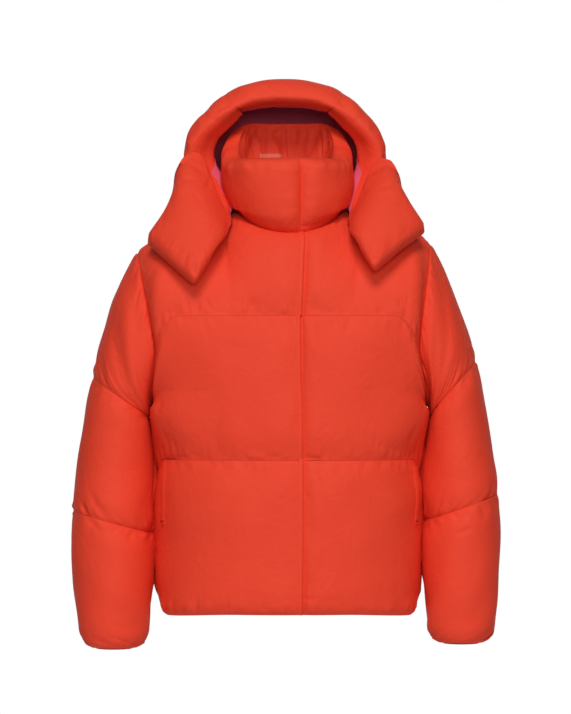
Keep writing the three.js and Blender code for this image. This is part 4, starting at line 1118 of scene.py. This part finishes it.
label_us = np.linspace(share_at(LABEL_FROM_X), share_at(LABEL_TO_X), 13)
label_point, label_lift = on_cloth(collars[RIGHT], label_us, np.linspace(0.54, 0.64, 7), "inner")
tab = thin_piece("neck_label_tab", label_point, -label_lift, 0.5, 0.8, label_cloth, ["neck_label"])
cut_size(label_point)


# Hood: a padded middle panel from the rim over the crown to the neck and a padded side on each
# hand, sewn on just outside the collar and standing empty behind it.
HOOD_CREST = 27
HOOD_LEAN, HOOD_LEAN_TOP = -8, 80
# distance out from the middle line, y, z
HOOD_RIM = [(0, -6, 166), (38, -8, 164), (68, -10, 157)]
HOOD_OPENING = [(68, -10, 157), (94, -12, 138), (123, -10, 110), (130, -8, 80), (118, -18, 50), (102, -40, 20)]
HOOD_SEAM_TOP = [(68, -10, 157), (76, 14, 170), (80, 60, 174), (79, 120, 166), (72, 172, 130)]
HOOD_SEAM_BACK = [(72, 172, 130), (68, 196, 82), (62, 190, 40), (54, 150, 12)]
HOOD_MIDDLE = [
    (0, -6, 166), (0, 14, 180), (0, 60, 186), (0, 125, 174), (0, 180, 134), (0, 205, 84), (0, 198, 38), (0, 155, 10),
]
NECK_SEAT = [(48, 92), (84, 58), (98, 8), (94, -34), (84, -60)]
SEAT_GAP = 0.6
HOOD_EDGES = {
    "opening": {"wall": lambda u: mix(15, 20, smooth(u, 0.35, 0.55)), "roll": 26, "free": True},
    "rim": {"wall": 15, "roll": 24, "free": True},
    "seam": {"wall": 21, "roll": 26, "soft": 1},
    "seat": {"wall": 6, "roll": 40},
}


def hood_x(z):
    return HOOD_LEAN * smooth(z, 0, HOOD_LEAN_TOP)


hood_centre = np.array([hood_x(HOOD_LEAN_TOP), 70, 80])


def solid_tree(name):
    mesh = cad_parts[name].data
    return BVHTree.FromPolygons([v.co.copy() for v in mesh.vertices], [list(p.vertices) for p in mesh.polygons])


yokes = [solid_tree(name) for name in ("front_right_yoke", "front_left_yoke", "back_yoke")]


def hood_lift(point):
    """Padding on the hood rises away from the middle of the head space."""
    away = np.array(point, float) - hood_centre
    away[..., 1] *= np.where(away[..., 1] > 0, 1, 0.15)
    under = smooth(point[..., 1], 90, 190)
    away[..., 2] *= mix(smooth(point[..., 2], -10, 60), 1, under)
    return unit(away)


def seat_height(x, y):
    """Height of the body's outside under a point beside the neck, and just outside it."""
    away = hood_lift(np.array([x, y, 0.0]))
    found = []
    for out in (-2.5, 0, 3, 7):
        start = (np.array([x, y, 90.0]) + away * out) / 1000
        hits = [yoke.ray_cast(Vector(start), Vector((0, 0, -1)))[0] for yoke in yokes]
        found.append(max(hit.z * 1000 for hit in hits if hit))
    return max(found) + SEAT_GAP


def hood_curves(side):
    def at(table):
        return [(hood_x(z) + side * out, y, z) for out, y, z in table]

    plan = through([(side * out, y, 0) for out, y in NECK_SEAT])
    seat = []
    for t in np.linspace(0, 1, 9):
        near = [plan(t + step) for step in (-0.09, -0.06, -0.03, 0, 0.03, 0.06, 0.09)]
        x, y, _ = plan(t)
        seat.append((x, y, max(seat_height(p[0], p[1]) for p in near)))
    return {
        "opening": through([*at(HOOD_OPENING), seat[-1]]),
        "seam_top": through(at(HOOD_SEAM_TOP)),
        "seam_back": through([*at(HOOD_SEAM_BACK), seat[0]]),
        "seat": through(seat),
    }


def lifted(curve):
    return lambda t: (curve(t), hood_lift(curve(t)))


hoods = {side: hood_curves(side) for side, _ in SIDES}
opening, seam, seat = (HOOD_EDGES[key] for key in ("opening", "seam", "seat"))
hood_sides = {}
for side, label in SIDES:
    curves = hoods[side]
    patch = coons(
        lifted(curves["opening"]),
        lifted(curves["seam_back"]),
        lifted(curves["seam_top"]),
        lifted(lambda t, line=curves["seat"]: line(1 - np.asarray(t))),
    )
    edges = {"bottom": opening, "top": seam, "start": seam, "end": seat}
    hood_sides[side] = padded_panel(f"hood_{label}", patch, HOOD_CREST, edges)


def hood_crown():
    rim_side = [[(hood_x(z) + side * out, y, z) for out, y, z in HOOD_RIM] for side, _ in SIDES]
    rim = through([*rim_side[0][::-1], *rim_side[1][1:]])
    ends = [hoods[side]["seat"](0) for side, _ in SIDES]
    behind = []
    for t in (0, 0.25, 0.5, 0.75, 1):
        x, y, z = mix(ends[0], ends[1], t) + np.array([0, 12 * math.sin(math.pi * t), 0])
        behind.append((x, y, seat_height(x, y) + 1.6 * SEAT_GAP if t % 1 else z))
    back_seat = through(behind)
    top, down = hoods[LEFT]["seam_top"].length, hoods[LEFT]["seam_back"].length
    split = top / (top + down)

    def seam_of(side):
        top_line, back_line = hoods[side]["seam_top"], hoods[side]["seam_back"]

        def at(t):
            t = np.asarray(t)
            over = (t < split)[..., None]
            return np.where(over, top_line(t / split), back_line((t - split) / (1 - split)))

        return at

    ridge = through([*[(hood_x(z) + out, y, z) for out, y, z in HOOD_MIDDLE], back_seat(0.5)])
    flat = coons(lifted(rim), lifted(back_seat), lifted(seam_of(RIGHT)), lifted(seam_of(LEFT)))

    def patch(u, v):
        point, lift = flat(u, v)
        middle = flat(np.array([0.5]), v)[0]
        bulge = (ridge(v)[:, None] - middle) * (4 * u * (1 - u))[None, :, None]
        return point + bulge, lift

    edges = {"bottom": HOOD_EDGES["rim"], "top": seat, "start": seam, "end": seam}
    return padded_panel("hood_middle", patch, HOOD_CREST, edges)


crown = hood_crown()
# the padded facing sags inwards behind the rim
SAG_FROM, SAG_LONG = 1, 75
TURNED_UNDER = 3.2  # mesh steps
for panel, sag in ((hood_sides[RIGHT], 19), (hood_sides[LEFT], 17), (crown, 14)):
    rows, columns = panel["inner"].shape[:2]
    number_i, number_j = np.meshgrid(np.arange(columns, dtype=float), np.arange(rows, dtype=float))
    under = TURNED_UNDER * (1 - smooth(number_j, 0, 12))
    panel["inner"] = resampled(panel["inner"], number_j + under, number_i)
    inwards = sag * np.sin(math.pi * np.clip((panel["reach"]["bottom"] - SAG_FROM) / SAG_LONG, 0, 1))
    tucks = puckers(len(panel["name"]), panel["reach"]["bottom"], panel["across"], 3, 24, 34)
    ends = 1 if panel is crown else smooth(panel["reach"]["end"], 0, 30)
    panel["inner"] = panel["inner"] - panel["lift"] * ((inwards + tucks) * ends)[..., None]
hood_inside = {name: p["inner"].copy() for name, p in (("right", hood_sides[RIGHT]), ("left", hood_sides[LEFT]), ("middle", crown))}
hood_gather = {"bottom": (3.0, 20, 26), "top": (2.4, 15, 18), "start": (2.4, 15, 18), "end": (2.4, 15, 18)}
HOOD_CREASES = {
    "hood_right": [
        ([(-88, 145), (-118, 128), (-155, 98)], 3.0, 6),
        ([(-108, 172), (-84, 160)], 1.6, 4),
        ([(-128, 152), (-108, 142)], 1.4, 4),
        ([(-112, 105), (-140, 102), (-160, 88)], 2.0, 5),
        ([(-140, 80), (-165, 70)], 1.4, 4),
    ],
    "hood_left": [
        ([(79, 145), (104, 122), (140, 99)], 3.0, 6),
        ([(74, 180), (94, 158)], 1.6, 4),
        ([(108, 152), (96, 134)], 1.4, 4),
        ([(96, 102), (120, 100), (146, 86)], 2.0, 5),
        ([(122, 76), (150, 66)], 1.4, 4),
    ],
    "hood_middle": [
        ([(0, 188), (34, 180)], 1.4, 4),
        ([(-40, 186), (-12, 178)], 1.4, 4),
        ([(20, 172), (52, 176)], 1.2, 4),
        ([(-66, 176), (-44, 168)], 1.4, 4),
    ],
}
sewn([*hood_sides.values(), crown], gather=hood_gather, creases=HOOD_CREASES, **PUFFING)


# Hood lining: thin satin-faced cloth that hangs against the hood's inside, from behind its
# padded facing to just above the neck.
lining_cloth = nylon("thin satin lining", "#e2607a", "#d0526a")
LINING_WALL, LINING_GAP = 0.6, 0.7
linings = {"right": hood_sides[RIGHT], "left": hood_sides[LEFT], "middle": crown}
for label, panel in linings.items():
    rows, columns = hood_inside[label].shape[:2]
    crown_side = np.linspace(0, 1, columns)
    if panel["u"][0] > panel["u"][-1]:
        crown_side = crown_side[::-1]
    set_back = np.full(columns, 9.0) if label == "middle" else mix(12, 3, smooth(crown_side, 0.42, 0.58))
    rows_at = mix(set_back[None], rows - 4, np.linspace(0, 1, rows - 6)[:, None])
    columns_at = np.broadcast_to(np.linspace(0.3, columns - 1.3, columns), (rows - 6, columns))
    grid = resampled(hood_inside[label], rows_at, columns_at)
    lift = unit(resampled(panel["lift"], rows_at, columns_at))
    ob = thin_piece(f"lining_{label}_cloth", grid, -lift, LINING_GAP, LINING_WALL, lining_cloth, [f"lining_{label}"])
    cut_size(grid)
    min(cloth_area(grid), 0.99 * cut_size(grid)[0] * cut_size(grid)[1])


# Hood flaps: the hood's two front ends, padded on both faces, fallen open over the shoulders.
FLAP_CREST = 38
FLAPS = {
    RIGHT: {
        "outer": [(-152, -10, 96), (-171, -30, 72), (-179, -48, 40), (-192, -62, 4), (-221, -78, -40)],
        "end": [(-221, -78, -40), (-184, -120, -74), (-144, -148, -109)],
        "inner": [(-116, -126, -62), (-144, -148, -109)],
    },
    LEFT: {
        "outer": [(147, -12, 87), (163, -30, 66), (172, -48, 40), (186, -60, 12), (209, -76, -24)],
        "end": [(209, -76, -24), (168, -118, -54), (127, -146, -89)],
        "inner": [(104, -122, -50), (127, -146, -89)],
    },
}
FLAP_ROOT_TOP, ROOT_GAP, ROOT_LEAN, ROOT_WALL = 0.58, 1.6, 0.75, 20
FLAP_CORNER = 11


def hood_flap(side, label):
    curve = hoods[side]["opening"]
    half = ROOT_WALL / 2
    end_lift = unit(np.array([side * 0.1, 0.8, -0.6]))
    last = 1 - SEAM_GAP / curve.length

    def root(t):
        point = curve(mix(FLAP_ROOT_TOP, last, np.asarray(t)))
        lift = hood_lift(point)
        point = point + lift * half + np.array([0, -ROOT_GAP - half * ROOT_LEAN, 0])
        return point, unit(hood_lift(point) + np.array([0, -ROOT_LEAN, 0]))

    def turning(line, at_root):
        first_point, first_lift = (x[0] for x in root(np.array([at_root])))
        curve = through([first_point, *line])

        def at(t):
            return curve(t), unit(mix(first_lift, end_lift, smooth(np.asarray(t), 0, 0.8)[:, None]))

        return at

    end = through(FLAPS[side]["end"])
    patch = coons(
        turning(FLAPS[side]["outer"], 0.0),
        turning(FLAPS[side]["inner"], 1.0),
        root,
        lambda t: (end(t), np.tile(end_lift, (len(t), 1))),
    )
    edge = {"wall": 12, "roll": 26, "free": True}
    edges = {"bottom": edge, "top": edge, "start": {"wall": ROOT_WALL, "roll": 80, "soft": 0.8}, "end": edge}
    panel = padded_panel(f"hood_flap_{label}", patch, FLAP_CREST, edges, inside=0.5)
    cut_round(panel, FLAP_CORNER)
    return panel


flaps = {side: hood_flap(side, label) for side, label in SIDES}
flap_gather = {"bottom": (2.0, 16, 18), "top": (2.0, 16, 18), "end": (2.4, 14, 16)}
FLAP_CREASES = {
    "hood_flap_right_inside": [
        ([(-174, 54), (-148, 53)], 1.8, 3.5),
        ([(-146, 30), (-136, 17)], 1.5, 4),
        ([(-163, 84), (-140, 70), (-128, 66)], 1.6, 4),
        ([(-120, 60), (-128, 38)], 1.4, 4),
    ],
    "hood_flap_left_inside": [
        ([(150, 78), (128, 66), (112, 64)], 1.6, 4),
        ([(168, 46), (140, 40)], 1.4, 4),
        ([(106, 50), (112, 28)], 1.4, 4),
        ([(186, 16), (160, 14)], 1.2, 4),
    ],
}
sewn(list(flaps.values()), both=True, most_out=4, gather=flap_gather, creases=FLAP_CREASES, **PUFFING)


# Pockets: a narrow welt of folded nylon over the slit beside each side seam.
welt_tops, bartacks = [], []
for side, label in SIDES:
    lower = fronts[side][0]
    shares = [(z - HEM) / (WAIST_SEAM[1] - HEM) for z in (-492, -412)]
    point, lift = on_cloth(lower, np.linspace(0.775, 0.815, 7), np.linspace(*shares, 37))
    welt_wall = 1.6 * np.array([0.4, 0.85, 1, 1, 1, 0.85, 0.4])[None, :, None]
    welt = thin_piece(f"pocket_{label}_welt", point, lift, 0.1, welt_wall, shell_nylon, [f"pocket_{label}"])
    cut_size(point)
    welt_tops.append(point + lift * (0.15 + welt_wall))
    low_end = [(z - HEM) / (WAIST_SEAM[1] - HEM) for z in (-489, -486)]
    bar, bar_lift = on_cloth(lower, np.linspace(0.775, 0.815, 25), np.array(low_end))
    bartacks.append(bar + bar_lift * 1.75)


# Stitching: polyester lockstitch along the quilting seams, the fly, the pocket welts and the label,
# with a dense bartack where each pocket ends.
STITCH_PITCH, STITCH_LONG, THREAD_THICK = 0.0034, 0.0026, 0.0005
thread = nylon("polyester sewing thread", "#c5331f", "#b32c1a", rough=0.5)


def topstitch_tree():
    tree = bpy.data.node_groups.new("topstitch", "GeometryNodeTree")
    inputs = {"Path": "Geometry", "Pitch": "Float", "Long": "Float", "Thick": "Float", "Thread": "Material"}
    for name, kind in inputs.items():
        tree.interface.new_socket(name, in_out="INPUT", socket_type="NodeSocket" + kind)
    tree.interface.new_socket("Stitches", in_out="OUTPUT", socket_type="NodeSocketGeometry")
    given = add(tree, "NodeGroupInput").outputs
    path = add(tree, "GeometryNodeMeshToCurve", [(0, given["Path"])])
    spots = add(
        tree, "GeometryNodeCurveToPoints", [("Curve", path.outputs[0]), ("Length", given["Pitch"])], mode="LENGTH"
    )
    bead = add(tree, "GeometryNodeMeshUVSphere", i_Segments=6, i_Rings=4, i_Radius=0.5)
    size = add(tree, "ShaderNodeCombineXYZ", [(0, given["Thick"]), (1, given["Thick"]), (2, given["Long"])])
    sources = {"Points": spots.outputs["Points"], "Instance": bead.outputs[0]}
    sources |= {"Rotation": spots.outputs["Rotation"], "Scale": size.outputs[0]}
    laid = add(tree, "GeometryNodeInstanceOnPoints", sources.items())
    real = add(tree, "GeometryNodeRealizeInstances", [(0, laid.outputs[0])])
    done = add(tree, "GeometryNodeSetMaterial", [("Geometry", real.outputs[0]), ("Material", given["Thread"])])
    add(tree, "NodeGroupOutput", [(0, done.outputs[0])])
    return tree


topstitch = topstitch_tree()


def stitched(name, lines, pitch=STITCH_PITCH, long=STITCH_LONG):
    """Lays stitches along lines of points and keeps them as one plain mesh."""
    points, steps = [], []
    for line in lines:
        first = len(points)
        points += (np.asarray(line) / 1000).tolist()
        steps += [(k, k + 1) for k in range(first, len(points) - 1)]
    path = bpy.data.meshes.new(name + "_path")
    path.from_pydata(points, steps, [])
    ob = bpy.data.objects.new(name, path)
    bpy.context.scene.collection.objects.link(ob)
    sewing = ob.modifiers.new("topstitch", "NODES")
    sewing.node_group = topstitch
    values = {"Pitch": pitch, "Long": long, "Thick": THREAD_THICK, "Thread": thread}
    for item in topstitch.interface.items_tree:
        if item.in_out == "INPUT" and item.name in values:
            sewing[item.identifier] = values[item.name]
    depsgraph = bpy.context.evaluated_depsgraph_get()
    made = bpy.data.meshes.new_from_object(ob.evaluated_get(depsgraph), depsgraph=depsgraph)
    ob.modifiers.clear()
    ob.data = made
    made.shade_smooth()
    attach(ob, "root")
    return ob


quilted = [*fronts[RIGHT][:2], *fronts[LEFT][:2], *back[:2]]
stitched("quilting_stitches_body", [p["outer"][-1] + 0.15 * p["fine_lift"][-1] for p in quilted])
rings = [p for p in sleeves if not p["name"].endswith("lower")]
stitched("quilting_stitches_sleeves", [p["outer"][-1] + 0.15 * p["fine_lift"][-1] for p in rings])
fly_top = fly_point + fly_lift * (0.4 + fly_wall)
stitched("fly_topstitch", [fly_top[:, 6]])
stitched("pocket_topstitch", [top[:, k] for top in welt_tops for k in (1, -2)])
zigzags = [np.stack([bar[k % 2, k] for k in range(bar.shape[1])]) for bar in bartacks]
stitched("pocket_bartacks", zigzags, pitch=0.0012, long=0.0014)
label_top = label_point - label_lift * 1.4
stitched("label_stitches", [label_top[:, 1], label_top[:, -2]])


# Camera, floor and light: a level long lens at the chest, on a plain pale studio floor.
camera = bpy.data.cameras.new("camera")
camera.lens = 200
camera.sensor_width = 36
eye = bpy.data.objects.new("camera", camera)
bpy.context.scene.collection.objects.link(eye)
VIEW_HIGH = 1.107
distance = VIEW_HIGH / 2 / math.tan(math.atan(18 / 200))
eye.location = (-0.007, -distance, -0.220)
eye.rotation_euler = (math.pi / 2, 0, 0)
camera.clip_end = 100
bpy.context.scene.camera = eye

world = bpy.data.worlds.new("studio")
world.use_nodes = True
sky = world.node_tree
sky.nodes.clear()
toward = add(sky, "ShaderNodeTexCoord")
parts = add(sky, "ShaderNodeSeparateXYZ", [(0, toward.outputs["Generated"])])
forward = add(sky, "ShaderNodeMapRange", [("Value", parts.outputs["Y"])], i_From_Min=-1)
bright = add(sky, "ShaderNodeValToRGB", [("Fac", forward.outputs[0])])
bright.color_ramp.interpolation = "EASE"
stops = bright.color_ramp.elements
for _ in range(2):
    stops.new(0.5)
for stop, (at, level) in zip(stops, ((0, 0.36), (0.33, 0.12), (0.8, 0.12), (0.97, 1.0))):
    stop.position = at
    stop.color = (level, level, level, 1)
glow = add(sky, "ShaderNodeBackground", [("Color", bright.outputs[0])])
add(sky, "ShaderNodeOutputWorld", [("Surface", glow.outputs[0])])
bpy.context.scene.world = world
bpy.context.scene.view_settings.view_transform = "Standard"


def softbox(name, place, aim, size, power):
    light = bpy.data.lights.new(name, "AREA")
    light.shape = "RECTANGLE"
    light.size, light.size_y = size
    light.energy = power
    ob = bpy.data.objects.new(name, light)
    bpy.context.scene.collection.objects.link(ob)
    ob.location = place
    ob.rotation_euler = (Vector(aim) - Vector(place)).to_track_quat("-Z", "Y").to_euler()


softbox("key softbox, high in front", (-0.1, -5.4, 5.4), (0, 0, -0.25), (2.6, 1.8), 305)
softbox("fill softbox, level with the collar", (0.2, -6, 0.7), (0, 0, 0), (1.6, 1.2), 92)

floor_size, floor_height = 1.15, -0.9
floor_mesh = bpy.data.meshes.new("floor")
turns = np.linspace(0, 2 * math.pi, 64, endpoint=False)
floor_mesh.from_pydata([(floor_size * math.cos(a), floor_size * math.sin(a), floor_height) for a in turns], [], [range(64)])
floor = bpy.data.objects.new("floor", floor_mesh)
bpy.context.scene.collection.objects.link(floor)
pale = bpy.data.materials.new("pale studio floor paint")
pale.use_nodes = True
pale.node_tree.nodes["Principled BSDF"].inputs["Base Color"].default_value = linear("#f4f3f1")
pale.node_tree.nodes["Principled BSDF"].inputs["Roughness"].default_value = 0.8
floor_mesh.materials.append(pale)
